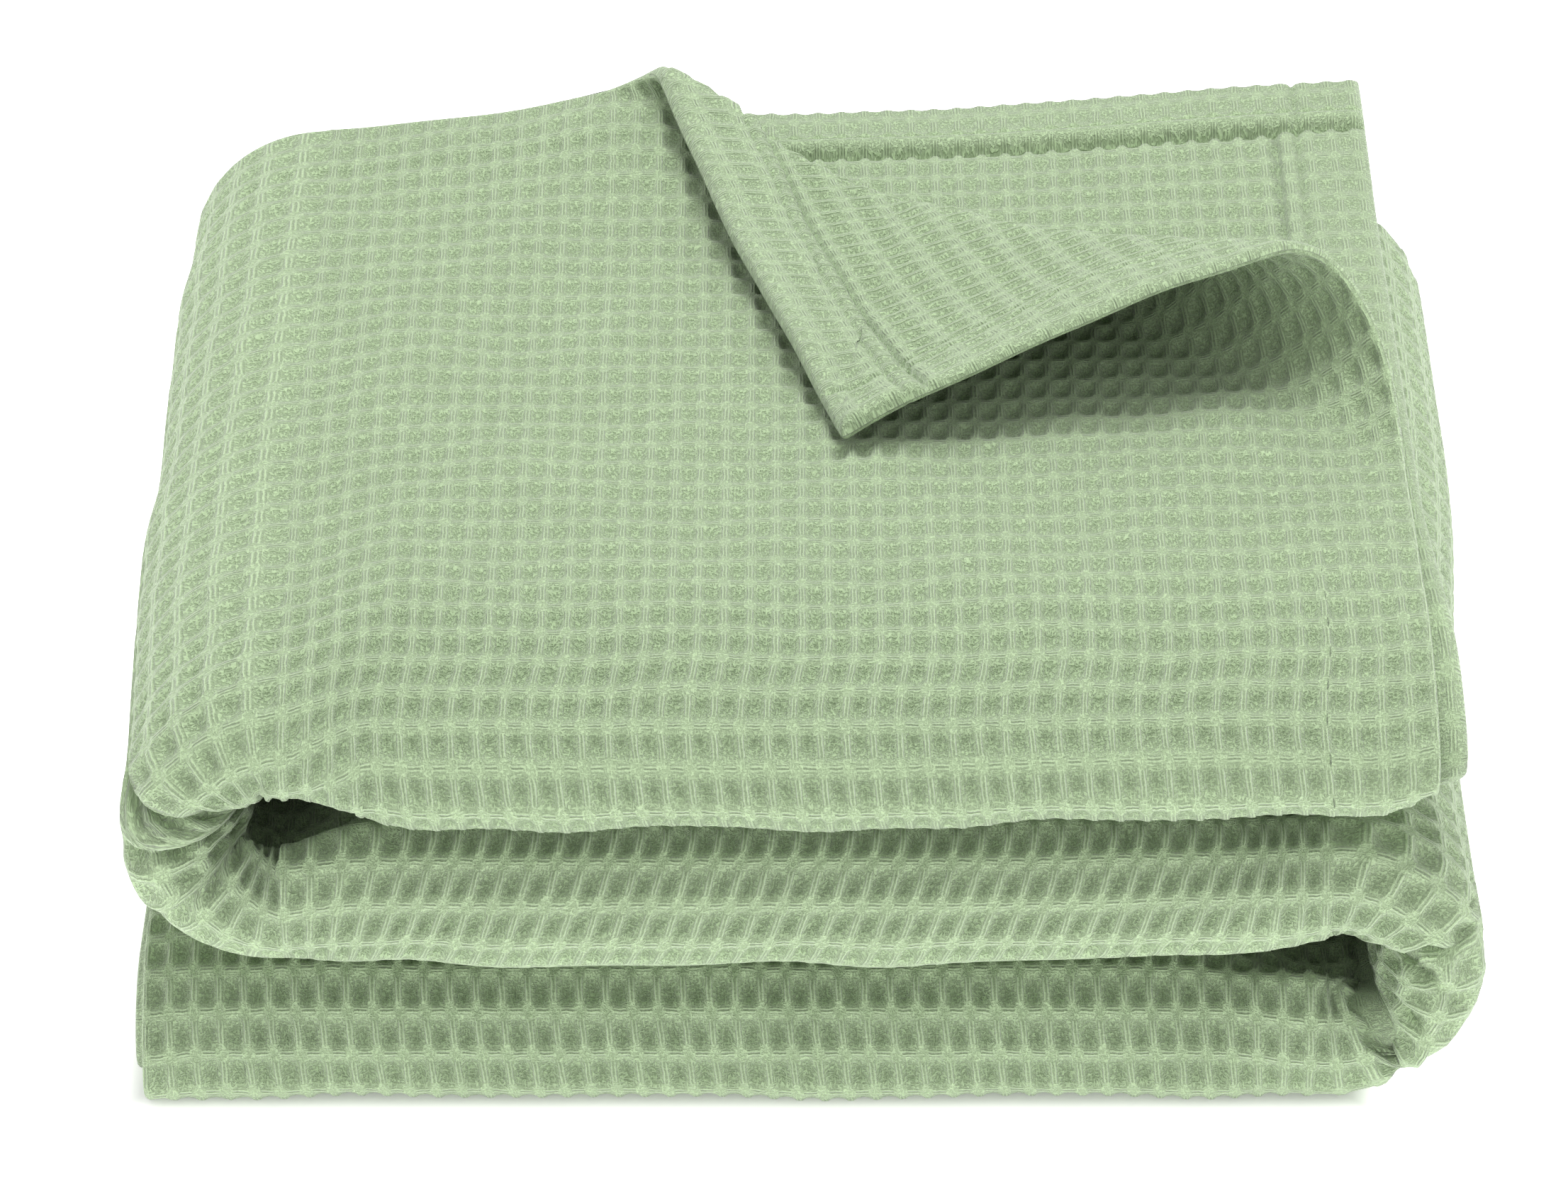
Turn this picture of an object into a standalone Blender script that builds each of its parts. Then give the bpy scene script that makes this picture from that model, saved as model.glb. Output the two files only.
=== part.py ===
# Waffle-weave cotton blanket, folded into a square stack with one corner turned back.
#
# The cloth is one sheet. It is first laid out flat, in cloth coordinates: u runs across
# the stack's three layers and v runs through the six plies of each layer. Every point of
# the flat sheet is then carried to its place in the folded stack, and the sheet gets its
# thickness. Lengths below are counted in waffle cells until CELL turns them into metres.
# X runs to the right, Y to the back and Z up. The origin is under the middle of the stack.

import math

import bmesh
import bpy
from mathutils import Matrix, Vector

CELL = 0.00625  # width of one waffle cell
PLY = 0.48  # thickness of the cloth, 3 mm

# The three layers, from the top one down. Each row has the middle height of the layer,
# half of the height between its outer plies, how far the front edge stands out, how deep
# the rounding of the front edge is on its first and second side, and where between the
# two sides it stands out most, as a share of half the height.
TOP = {"z": 15.65, "half": 2.75, "front": 0.3, "first": 9.75, "second": 1.75, "bulge": -0.47}
MIDDLE = {"z": 9.40, "half": 2.90, "front": 0.0, "first": 2.60, "second": 3.0, "bulge": 0.20}
BOTTOM = {"z": 3.10, "half": 2.86, "front": 0.8, "first": 4.50, "second": 1.4, "bulge": -0.58}
# The layers turn into each other at a left and a right wrap, round these points.
WRAP = {"half": 2.2, "front": 0.5, "first": 3.0, "second": 1.6, "bulge": 0.0}
LEFT_WRAP_X = -19.6
LEFT_WRAP_Z = 12.60
RIGHT_WRAP_X = 20.7
RIGHT_WRAP_Z = 6.20
WRAP_EASE = 4.5  # over this length a layer thins towards its wrap
FRONT_EASE = 0.7  # and its front edge takes this share of the wrap's rounding
FRONT_SPLIT = 0.6  # this share of a front edge's cloth lies before its foremost line
LEAST_DEPTH = 0.6  # no rounding of a front edge is less deep
TOP_RIGHT_X = 24.7  # where the top layer ends
BOTTOM_LEFT_X = -24.8  # where the bottom layer ends

# Heights of the six plies as shares of half the layer: outer, inner and tucked pair.
OUTER, INNER, TUCKED = 1.0, 0.6, 0.2
INNER_SETBACK = 1.1  # the inner ply's front edge lies this far behind the outer one's
TUCKED_FRONT = 5.6  # the tucked pair's closed fold, behind the layer's front

# Where the plies end. A pair of places says where a change starts and where it is full.
OUTER_BACK = 49.6  # back hem of the outer ply
INNER_BACK = 3.0  # the inner ply's back hem stands out behind the outer one
INNER_BACK_FROM = (-12.0, -2.0)  # but not at the left
INNER_BACK_SKEW = 0.07  # and more so towards the right
INNER_BACK_LESS = 0.5  # in the lower layers it ends this much before the outer one
INNER_RIGHT = 1.1  # the inner ply's side hem stands out to the right at the front
INNER_RIGHT_BACK = 0.6  # and less at the back
INNER_RIGHT_FROM = (5.0, 20.0)
INNER_LEFT_SHARE = 0.3  # at the left end of the bottom layer it stands out this share of that
TURN_BACK = 47.6  # where the closed turns start at the back
RIGHT_WRAP_BACK = 6.5  # the right wrap reaches this much further back

# The stack is not quite square.
BACK_SINK = 0.093  # it is this share lower at its back, evenly from front to back
BACK_SINK_FROM = (2.0, 60.0)
CORNER_LIFT = 0.8  # the inner ply's back right corner, of two thick hems, stands up
CORNER_LIFT_FROM_X = (5.0, 25.0)
CORNER_LIFT_FROM_Y = (40.0, 54.0)
LEFT_DRAW = 0.45  # the left side is drawn in at the front
LEFT_DRAW_FROM_X = (-10.0, -22.0)
LEFT_DRAW_FROM_Y = (25.0, 0.0)
RIGHT_SPLAY = 1.5  # the right wrap spreads out towards the back
RIGHT_SPLAY_FROM_X = (10.0, 22.0)
RIGHT_SPLAY_FROM_Y = (12.0, 40.0)

# The turned-back corner: its fold starts at FOLD_X on the back hem and runs forward to
# the right. The cloth rolls over with a radius that grows towards both ends.
FOLD_X = -5.9
FOLD_ANGLE = math.radians(37.2)
ROLL_LEAST = 0.55
ROLL_WAIST = (8.0, 14.0)  # between these lengths along the fold the roll is tight
ROLL_GROWTH_BACK = 0.05
ROLL_GROWTH_RIGHT = 0.104
ROLL_STANDS = 0.25  # towards the right the roll is this share taller than a round one
ROLL_STANDS_FROM = (20.0, 34.0)
FLAP_ARCH = 1.3  # the turned-back cloth arches up between its roll and its tip
FLAP_REST = 1.05  # height of the turned-back cloth above the ply it lies on
FLAP_MOST = 0.98  # nearer to the tip than this, the straight lines all meet
PEAK_LIFT = 2.0  # the whole ply is lifted where the fold leaves the back hem
PEAK_SPREAD = 7.5
FOLD_CUTS = (-4.2, -2.8, -1.7, -0.8, 0.0, 0.8, 1.7, 2.8, 4.2)

CLOTH = (0.44, 0.60, 0.38, 1.0)

# The sheet from its back hem round all six plies to its other back hem: the length of
# each stretch, and how many strips of faces it is divided into.
STRETCHES = (
    ("outer top", 40.3, 5),
    ("outer front", 11.6, 8),
    ("outer bottom", 46.5, 2),
    ("outer turn", 5.2, 4),
    ("tucked upper", 42.8, 2),
    ("tucked fold", 1.8, 3),
    ("tucked lower", 42.8, 2),
    ("inner turn", 1.8, 3),
    ("inner bottom", 45.5, 2),
    ("inner front", 9.4, 6),
    ("inner top", 42.4, 4),
)

TOP_RUN = TOP_RIGHT_X - LEFT_WRAP_X
MIDDLE_RUN = RIGHT_WRAP_X - LEFT_WRAP_X
BOTTOM_RUN = RIGHT_WRAP_X - BOTTOM_LEFT_X
WRAP_RUN = 11.5
# Across the layers: length and number of strips of the five parts.
COURSES = (
    ("top", TOP_RUN, 10),
    ("left wrap", WRAP_RUN, 7),
    ("middle", MIDDLE_RUN, 7),
    ("right wrap", WRAP_RUN, 7),
    ("bottom", BOTTOM_RUN, 6),
)


def smooth(share):
    """Goes from 0 to 1 with level ends."""
    share = min(1.0, max(0.0, share))
    return share * share * (3 - 2 * share)


def ramp(place, bounds):
    """Goes from 0 to 1 between two places, with level ends."""
    return smooth((place - bounds[0]) / (bounds[1] - bounds[0]))


def blend(a, b, share):
    return a + (b - a) * share


def front_of(layer, share):
    """The front edge's numbers of a layer, this share of the way to those of a wrap."""
    return {key: blend(layer[key], WRAP[key], share) for key in ("front", "first", "second", "bulge")}


def lines_of(table):
    """The places of the grid lines that divide a table's stretches evenly."""
    lines, start = [0.0], 0.0
    for _, length, strips in table:
        lines += [start + length * (i + 1) / strips for i in range(strips)]
        start += length
    return lines


def find(table, place):
    """The stretch that a place is on, and its share of the way along it."""
    for name, length, _ in table:
        if place <= length + 1e-6:
            return name, min(1.0, place / length)
        place -= length
    return table[-1][0], 1.0


def run_frame(layer, x, ease, outer_up):
    """A flat part of a layer, thinner towards a wrap. The ply outside the wrap keeps its height."""
    frame = front_of(layer, ease * FRONT_EASE)
    frame["half"] = blend(layer["half"], WRAP["half"], ease)
    lost = layer["half"] - frame["half"]
    frame["x"] = x
    frame["z"] = layer["z"] + (lost if outer_up else -lost)
    return frame


def wrap_frame(centre_x, centre_z, above, below, turn, side):
    """A place on the half circle where one layer turns into the next. side is -1 left, 1 right."""
    reach_above = above["z"] + above["half"] - centre_z
    reach_below = centre_z - below["z"] + below["half"]
    share = turn / math.pi
    radius = blend(reach_above, reach_below, share) - WRAP["half"]
    near = above if share < 0.5 else below
    frame = front_of(near, 1 - (1 - FRONT_EASE) * abs(math.cos(turn)))
    frame["half"] = WRAP["half"]
    frame["x"] = centre_x + side * radius * math.sin(turn)
    frame["z"] = centre_z + radius * math.cos(turn)
    return frame


def frame_at(u):
    """The layer at a place across the sheet: its middle, its shape and where its first side faces."""
    name, share = find(COURSES, u)
    if name == "top":
        x = TOP_RIGHT_X - TOP_RUN * share
        frame = run_frame(TOP, x, smooth(1 - (x - LEFT_WRAP_X) / WRAP_EASE), True)
        frame["facing"] = (0.0, 1.0)
    elif name == "left wrap":
        turn = math.pi * share
        frame = wrap_frame(LEFT_WRAP_X, LEFT_WRAP_Z, TOP, MIDDLE, turn, -1)
        frame["facing"] = (-math.sin(turn), math.cos(turn))
    elif name == "middle":
        x = LEFT_WRAP_X + MIDDLE_RUN * share
        left = smooth(1 - (x - LEFT_WRAP_X) / WRAP_EASE)
        right = smooth(1 - (RIGHT_WRAP_X - x) / WRAP_EASE)
        frame = run_frame(MIDDLE, x, max(left, right), right > left)
        frame["facing"] = (0.0, -1.0)
    elif name == "right wrap":
        turn = math.pi * share
        frame = wrap_frame(RIGHT_WRAP_X, RIGHT_WRAP_Z, MIDDLE, BOTTOM, turn, 1)
        frame["facing"] = (-math.sin(turn), -math.cos(turn))
    else:
        x = RIGHT_WRAP_X - BOTTOM_RUN * share
        frame = run_frame(BOTTOM, x, smooth(1 - (RIGHT_WRAP_X - x) / WRAP_EASE), False)
        frame["facing"] = (0.0, 1.0)
    return name, share, frame


def further_back(name, share):
    """How much further the cloth reaches back than the top layer does."""
    if name == "middle":
        return RIGHT_WRAP_BACK * smooth(share)
    if name == "right wrap":
        return RIGHT_WRAP_BACK
    if name == "bottom":
        return RIGHT_WRAP_BACK * smooth(1 - 2 * share)
    return 0.0


def front_edge(frame, level, setback, share):
    """The rounded front edge of a ply from its first side to its second, two quarter ovals."""
    half, bulge = frame["half"] * level, frame["half"] * frame["bulge"] * level
    foremost = frame["front"] + setback
    if share < FRONT_SPLIT:
        turn = share / FRONT_SPLIT * math.pi / 2
        depth = frame["first"] - setback
        return foremost + depth * (1 - math.sin(turn)), bulge + (half - bulge) * math.cos(turn)
    turn = (share - FRONT_SPLIT) / (1 - FRONT_SPLIT) * math.pi / 2
    depth = max(frame["second"] - setback, LEAST_DEPTH)
    return foremost + depth * (1 - math.cos(turn)), bulge - (half + bulge) * math.sin(turn)


def section(v, frame, back):
    """Depth and height above the layer's middle of a place along the six plies."""
    name, share = find(STRETCHES, v)
    half = frame["half"]
    first = frame["front"] + frame["first"]
    second = frame["front"] + frame["second"]
    inner_depth = max(frame["second"] - INNER_SETBACK, LEAST_DEPTH)
    inner_second = frame["front"] + INNER_SETBACK + inner_depth
    turn_y = TURN_BACK + back
    tucked_y = frame["front"] + TUCKED_FRONT
    turn = math.pi * share
    if name == "outer top":
        return blend(OUTER_BACK + back, first, share), half
    if name == "outer front":
        return front_edge(frame, OUTER, 0.0, share)
    if name == "outer bottom":
        return blend(second, turn_y, share), -half
    if name == "outer turn":
        middle, reach = half * (TUCKED - OUTER) / 2, half * (TUCKED + OUTER) / 2
        return turn_y + reach * math.sin(turn), middle - reach * math.cos(turn)
    if name == "tucked upper":
        return blend(turn_y, tucked_y, share), half * TUCKED
    if name == "tucked fold":
        return tucked_y - half * TUCKED * math.sin(turn), half * TUCKED * math.cos(turn)
    if name == "tucked lower":
        return blend(tucked_y, turn_y, share), -half * TUCKED
    if name == "inner turn":
        middle, reach = -half * (TUCKED + INNER) / 2, half * (INNER - TUCKED) / 2
        return turn_y + reach * math.sin(turn), middle + reach * math.cos(turn)
    if name == "inner bottom":
        return blend(turn_y, inner_second, share), -half * INNER
    if name == "inner front":
        return front_edge(frame, INNER, INNER_SETBACK, 1 - share)
    out = INNER_BACK * ramp(frame["x"], INNER_BACK_FROM) + INNER_BACK_SKEW * max(0.0, frame["x"])
    hem_y = OUTER_BACK + max(back - INNER_BACK_LESS, out)
    return blend(first, hem_y, share), half * INNER


def sideways(name, share, v, y):
    """How far the inner plies stand out at the open ends of the strip."""
    stretch, _ = find(STRETCHES, v)
    out = 0.0
    if stretch.startswith("inner"):
        out = blend(INNER_RIGHT, INNER_RIGHT_BACK, ramp(y, INNER_RIGHT_FROM))
    if stretch.startswith("tucked"):
        out = INNER_RIGHT / 2
    if name == "top":
        return out * (1 - share)
    if name == "bottom":
        return -INNER_LEFT_SHARE * out * share
    return 0.0


def sunk(y, z):
    """The stack is a little lower at its back. The ply on the ground stays level."""
    start, end = BACK_SINK_FROM
    share = min(1.0, max(0.0, (y - start) / (end - start)))
    return PLY / 2 + (z - PLY / 2) * (1 - BACK_SINK * share)


def spread(name, x, y):
    """The sides of the stack are not quite straight: this moves them left or right."""
    if name in ("top", "left wrap") or x < 0 and name == "middle":
        return LEFT_DRAW * ramp(x, LEFT_DRAW_FROM_X) * ramp(y, LEFT_DRAW_FROM_Y)
    return RIGHT_SPLAY * ramp(x, RIGHT_SPLAY_FROM_X) * ramp(y, RIGHT_SPLAY_FROM_Y)


def roll_radius(along):
    """Radius of the turned-back corner's roll at a length along its fold."""
    back = max(0.0, ROLL_WAIST[0] - along)
    right = max(0.0, along - ROLL_WAIST[1])
    return ROLL_LEAST + ROLL_GROWTH_BACK * back + ROLL_GROWTH_RIGHT * right


def roll_height(along):
    """Half of the height that the cloth stands up to at its roll."""
    return roll_radius(along) * (1 + ROLL_STANDS * ramp(along, ROLL_STANDS_FROM))


def flap_height(along, past):
    """Height of the turned-back cloth: straight lines run from its roll down to its tip."""
    hem = TOP_RIGHT_X - FOLD_X
    tip_along = hem * math.cos(FOLD_ANGLE)
    tip_past = hem * math.sin(FOLD_ANGLE) - math.pi * roll_radius(tip_along) / 2
    share = min(FLAP_MOST, past / tip_past)
    end = hem / math.cos(FOLD_ANGLE)
    from_roll = min(end, max(0.0, (along - share * tip_along) / (1 - share)))
    return blend(2 * roll_height(from_roll), FLAP_REST, share**FLAP_ARCH)


def fold_corner(x, y):
    """Turns the corner of the outer top ply back. Gives its place and its height above the ply."""
    along_x, along_y = math.cos(FOLD_ANGLE), -math.sin(FOLD_ANGLE)
    beyond_x, beyond_y = math.sin(FOLD_ANGLE), math.cos(FOLD_ANGLE)
    along = (x - FOLD_X) * along_x + (y - OUTER_BACK) * along_y
    beyond = (x - FOLD_X) * beyond_x + (y - OUTER_BACK) * beyond_y
    radius = roll_radius(along)
    rolled = beyond + math.pi * radius / 2
    if rolled <= 0:
        return x, y, 0.0
    if rolled < math.pi * radius:
        moved = radius * math.sin(rolled / radius) - math.pi * radius / 2
        height = roll_height(along) * (1 - math.cos(rolled / radius))
    else:
        moved = -beyond
        height = flap_height(along, rolled - math.pi * radius)
    start_x, start_y = FOLD_X + along * along_x, OUTER_BACK + along * along_y
    return start_x + moved * beyond_x, start_y + moved * beyond_y, height


def peak(x, y):
    """Lift of the outer top ply round the place where the fold leaves the back hem."""
    away = ((x - FOLD_X) / PEAK_SPREAD) ** 2 + ((y - OUTER_BACK) / PEAK_SPREAD) ** 2
    return PEAK_LIFT * math.exp(-away)


def place(u, v):
    """Where a point of the flat sheet lies in the folded stack, in metres."""
    name, share, frame = frame_at(u)
    y, height = section(v, frame, further_back(name, share))
    x = frame["x"] + frame["facing"][0] * height + sideways(name, share, v, y)
    z = frame["z"] + frame["facing"][1] * height
    x += spread(name, x, y)
    stretch = find(STRETCHES, v)[0]
    lift = 0.0
    if name == "top" and stretch == "outer top":
        x, y, lift = fold_corner(x, y)
        lift += peak(x, y)
    if name == "top" and stretch == "inner top":
        lift = CORNER_LIFT * ramp(x, CORNER_LIFT_FROM_X) * ramp(y, CORNER_LIFT_FROM_Y)
    return x * CELL, y * CELL, (sunk(y, z) + lift) * CELL


def cut_beside_fold(sheet, offset):
    """Cuts the outer top ply's faces along a line at this distance from the corner's fold."""
    start = Vector((TOP_RIGHT_X - FOLD_X, 0.0, 0.0))
    normal = Vector((-math.sin(FOLD_ANGLE), -math.cos(FOLD_ANGLE), 0.0))
    faces = []
    for face in sheet.faces:
        middle = face.calc_center_median()
        if middle.x < TOP_RUN and middle.y < STRETCHES[0][1]:
            faces.append(face)
    edges = {edge for face in faces for edge in face.edges}
    verts = {vert for face in faces for vert in face.verts}
    bmesh.ops.bisect_plane(
        sheet,
        geom=faces + list(edges) + list(verts),
        plane_co=start + offset * normal,
        plane_no=normal,
        dist=0.05,
    )


def flat_sheet():
    """The sheet as a flat grid in cloth coordinates, cut along lines beside the corner's fold."""
    across, through = lines_of(COURSES), lines_of(STRETCHES)
    columns, rows = len(across) - 1, len(through) - 1
    sheet = bmesh.new()
    bmesh.ops.create_grid(sheet, x_segments=columns, y_segments=rows, size=1.0)
    for vert in sheet.verts:
        column = round((vert.co.x + 1) / 2 * columns)
        row = round((vert.co.y + 1) / 2 * rows)
        vert.co = (across[column], through[row], 0.0)
    for offset in FOLD_CUTS:
        cut_beside_fold(sheet, offset)
    bmesh.ops.triangulate(sheet, faces=sheet.faces)
    return sheet


def cloth_material():
    """Sage green cotton, dull and not metallic."""
    material = bpy.data.materials.new("sage cotton")
    material.use_nodes = True
    shader = material.node_tree.nodes["Principled BSDF"]
    shader.inputs["Base Color"].default_value = CLOTH
    shader.inputs["Roughness"].default_value = 0.95
    shader.inputs["Metallic"].default_value = 0.0
    return material


def centre(blanket):
    """Moves the cloth so that the middle of its underside is at the origin."""
    shape = blanket.evaluated_get(bpy.context.evaluated_depsgraph_get())
    corners = [Vector(corner) for corner in shape.bound_box]
    low = [min(corner[axis] for corner in corners) for axis in range(3)]
    high = [max(corner[axis] for corner in corners) for axis in range(3)]
    middle = Vector(((low[0] + high[0]) / 2, (low[1] + high[1]) / 2, low[2]))
    blanket.data.transform(Matrix.Translation(-middle))


def make_blanket(collection):
    """The one sheet, folded, and thickened to both sides of its middle."""
    sheet = flat_sheet()
    for vert in sheet.verts:
        vert.co = place(vert.co.x, vert.co.y)
    mesh = bpy.data.meshes.new("blanket")
    sheet.to_mesh(mesh)
    sheet.free()
    mesh.materials.append(cloth_material())
    mesh.shade_smooth()
    blanket = bpy.data.objects.new("blanket", mesh)
    collection.objects.link(blanket)
    thickness = blanket.modifiers.new("cloth thickness", "SOLIDIFY")
    thickness.thickness = PLY * CELL
    thickness.offset = 0.0
    centre(blanket)


def main():
    for obj in list(bpy.data.objects):
        bpy.data.objects.remove(obj)
    collection = bpy.data.collections.new("waffle blanket")
    bpy.context.scene.collection.children.link(collection)
    make_blanket(collection)


main()
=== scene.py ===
# %% [markdown]
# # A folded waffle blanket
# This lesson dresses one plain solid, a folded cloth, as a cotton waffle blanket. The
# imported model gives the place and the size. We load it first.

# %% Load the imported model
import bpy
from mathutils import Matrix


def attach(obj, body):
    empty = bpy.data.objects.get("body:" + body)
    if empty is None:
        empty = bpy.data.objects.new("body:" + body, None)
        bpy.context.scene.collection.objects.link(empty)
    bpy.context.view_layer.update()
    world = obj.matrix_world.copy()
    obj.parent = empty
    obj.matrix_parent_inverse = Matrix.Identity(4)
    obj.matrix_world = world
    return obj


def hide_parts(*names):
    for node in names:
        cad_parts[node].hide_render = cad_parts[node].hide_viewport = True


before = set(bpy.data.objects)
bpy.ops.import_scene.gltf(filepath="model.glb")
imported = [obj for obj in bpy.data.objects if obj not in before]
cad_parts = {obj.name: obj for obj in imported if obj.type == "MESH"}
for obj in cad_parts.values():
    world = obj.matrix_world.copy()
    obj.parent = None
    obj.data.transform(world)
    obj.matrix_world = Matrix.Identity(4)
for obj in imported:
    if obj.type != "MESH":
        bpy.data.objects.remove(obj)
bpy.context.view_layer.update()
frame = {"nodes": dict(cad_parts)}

import math

import bpy
import numpy as np
from mathutils import Matrix, Vector

# %% [markdown]
# ## The stage
# A product photograph like ours is taken on a white table. We need a floor that catches
# a faint shadow and nothing else. A plane is enough, as long as it reaches past the view.

# %% The floor
bpy.ops.mesh.primitive_plane_add(size=12.0, location=(0, 2.0, 0))
floor = bpy.context.object
floor.name = "floor"
floor_paint = bpy.data.materials.new("white table")
floor_paint.use_nodes = True
floor_shader = floor_paint.node_tree.nodes["Principled BSDF"]
floor_shader.inputs["Base Color"].default_value = (0.92, 0.92, 0.92, 1)
floor_shader.inputs["Roughness"].default_value = 0.9
floor_shader.inputs["Emission Color"].default_value = (1, 1, 1, 1)
floor.data.materials.append(floor_paint)
print("floor of", floor.dimensions.x, "metres")

# %% [markdown]
# A material is a small net of nodes. Three helpers let us write it down like sums: one
# gives a node a number or another node's result, one adds a sum, and one adds a soft
# change from one value to another.


# %% Helpers for materials
def feed(tree, socket, value):
    """Gives a node's input a number, or links it to another node's output."""
    if isinstance(value, bpy.types.NodeSocket):
        tree.links.new(value, socket)
    else:
        socket.default_value = value


def add_sum(tree, operation, *values):
    node = tree.nodes.new("ShaderNodeMath")
    node.operation = operation
    for socket, value in zip(node.inputs, values):
        feed(tree, socket, value)
    return node.outputs[0]


def add_fade(tree, place, start, end, low, high):
    """Goes softly from low at the start to high at the end."""
    node = tree.nodes.new("ShaderNodeMapRange")
    node.interpolation_type = "SMOOTHSTEP"
    for socket, value in zip(node.inputs, (place, start, end, low, high)):
        feed(tree, socket, value)
    return node.outputs[0]


print("three helpers for materials")

# %% [markdown]
# The floor glows a little, as a lit table does, and so throws light up at the lower folds.
# Close to the blanket it glows less, and that is painted shadow: the faint dark contact
# shadow that the blanket stands on.

# %% The glow of the floor and its painted contact shadow
FOOT_CENTRE = (-0.018, 0.004)  # the middle of the blanket's footprint, in metres
FOOT_HALF = (0.146, 0.167)
# Near the blanket the floor glows less, which paints the blanket's faint contact shadow.
GLOW, GLOW_IN_PAINTED_SHADOW = 1.2, 0.22
PAINTED_SHADOW_REACH = 0.014  # the glow is back at its full strength this far from the blanket

floor_tree = floor_paint.node_tree
place = floor_tree.nodes.new("ShaderNodeSeparateXYZ")
floor_tree.links.new(floor_tree.nodes.new("ShaderNodeNewGeometry").outputs["Position"], place.inputs[0])
outside = []
for axis in (0, 1):
    shifted = add_sum(floor_tree, "SUBTRACT", place.outputs[axis], FOOT_CENTRE[axis])
    away = add_sum(floor_tree, "ABSOLUTE", shifted)
    outside.append(add_sum(floor_tree, "SUBTRACT", away, FOOT_HALF[axis]))
furthest = add_sum(floor_tree, "MAXIMUM", *outside)
# Painted contact shadow: the glow fades down towards the blanket's footprint.
glow = add_fade(floor_tree, furthest, 0.0, PAINTED_SHADOW_REACH, GLOW_IN_PAINTED_SHADOW, GLOW)
floor_tree.links.new(glow, floor_shader.inputs["Emission Strength"])
print("the floor glows from", GLOW_IN_PAINTED_SHADOW, "to", GLOW)

# %% [markdown]
# ## The light
# The waffle only shows when its hollows get less light than its ridges. A wide lamp
# above does that: it lights the top, grazes the fronts, and leaves the lower wall of every
# hollow brighter than the upper one. Most of the light comes from the white room around
# it, which fills the shadows.

# %% The lamps and the room
LIT_PLACE = (0, 0, 0.06)  # the middle of the blanket
ROOM_LIGHT = 0.82


def soft_lamp(name, place, size, watts):
    """A square lamp that looks at the middle of the blanket."""
    light = bpy.data.lights.new(name, "AREA")
    light.size = size
    light.energy = watts
    lamp = bpy.data.objects.new(name, light)
    lamp.location = place
    lamp.rotation_euler = (Vector(LIT_PLACE) - Vector(place)).to_track_quat("-Z", "Y").to_euler()
    bpy.context.scene.collection.objects.link(lamp)
    return lamp


soft_lamp("lamp above", (0.12, 0.02, 1.6), size=0.7, watts=20.0)
soft_lamp("wide lamp in front", (0.3, -2.2, 1.3), size=3.0, watts=2.0)
world = bpy.data.worlds.new("white room")
world.use_nodes = True
room = world.node_tree.nodes["Background"]
room.inputs["Color"].default_value = (1.0, 1.0, 1.0, 1)
room.inputs["Strength"].default_value = ROOM_LIGHT
bpy.context.scene.world = world
bpy.context.scene.view_settings.view_transform = "Standard"
print("two lamps and a white room")

# %% [markdown]
# ## The camera
# The photo was taken with a long lens from the front and above. How fast the columns of
# the weave draw together towards the back gives the distance, and how flat the top looks
# gives the angle. From here on we count in cells of the weave, and turn them into metres
# only at the end.

# %% The camera
CELL = 0.00625  # width of one waffle cell in metres
CENTRE = (-1.331, -27.939)  # the fold's own zero point lies here from the stack's middle
ABOVE = math.radians(31.5)  # the camera looks down by this angle
AWAY, RAISED = 276.04, 20.66  # the camera's distance from the zero point, and its shift upwards
SENSOR = 36  # width of the film in millimetres
PHOTO_WIDTH, FOCAL_PIXELS = 2212, 10060

camera = bpy.data.objects.new("camera", bpy.data.cameras.new("camera"))
camera.data.sensor_width = SENSOR
camera.data.lens = FOCAL_PIXELS / PHOTO_WIDTH * SENSOR
look = Vector((0, math.cos(ABOVE), -math.sin(ABOVE)))
above = Vector((0, math.sin(ABOVE), math.cos(ABOVE)))
eye = -(AWAY * look - RAISED * above) + Vector((CENTRE[0], CENTRE[1], 0))
turned = Matrix((Vector((1, 0, 0)), above, -look)).transposed()
camera.matrix_world = Matrix.Translation(eye * CELL) @ turned.to_4x4()
bpy.context.scene.collection.objects.link(camera)
bpy.context.scene.camera = camera
print("the camera is", round(camera.location.length, 2), "metres away, lens", round(camera.data.lens))

# %% [markdown]
# ## How the blanket is folded
# The real blanket is one rectangle of cloth. It is doubled, with its two end hems at the
# back, and then folded in thirds from side to side, like the letter S. We describe every
# point by two numbers that don't change when the cloth is folded: u counts cells across
# the three layers, and v counts along the six plies of each layer. All the folding is
# then one rule that says where (u, v) lies. A simulation could fold cloth too, but it
# would not land in the photo's own folds, and a rule can be made as fine as we like.

# %% [markdown]
# Each layer has a height, half a thickness, and a rounded front edge made of two quarter
# ovals. `front` says how far back the edge starts, `first` and `second` how deep the two
# ovals are, `bulge` how high the foremost line lies, and `slide` how far the cloth has
# slid round it. We found the measures by laying the rule's outline over the photo.

# %% The layers
PLY = 0.48
TOP = {"z": 15.65, "half": 2.75, "front": 0.3, "first": 9.75, "second": 1.75, "bulge": -0.47, "slide": 0.0}
MIDDLE = {"z": 9.40, "half": 2.90, "front": 0.0, "first": 2.60, "second": 3.0, "bulge": 0.20, "slide": 0.6}
BOTTOM = {"z": 3.10, "half": 2.86, "front": 0.8, "first": 4.50, "second": 1.4, "bulge": -0.58, "slide": 0.0}
WRAP = {"front": 0.5, "first": 3.0, "second": 1.6, "bulge": 0.0, "slide": 0.2}
LEFT_WRAP_X, LEFT_WRAP_Z = -19.6, 12.60
RIGHT_WRAP_X, RIGHT_WRAP_Z = 20.7, 6.20
WRAP_EASE = 4.5
FRONT_EASE = 0.7
FRONT_SPLIT = 0.6
LEAST_DEPTH = 0.6
TOP_RIGHT_X = 24.7
BOTTOM_LEFT_X = -24.8
print("the layers lie at heights", TOP["z"], MIDDLE["z"], BOTTOM["z"])

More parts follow.
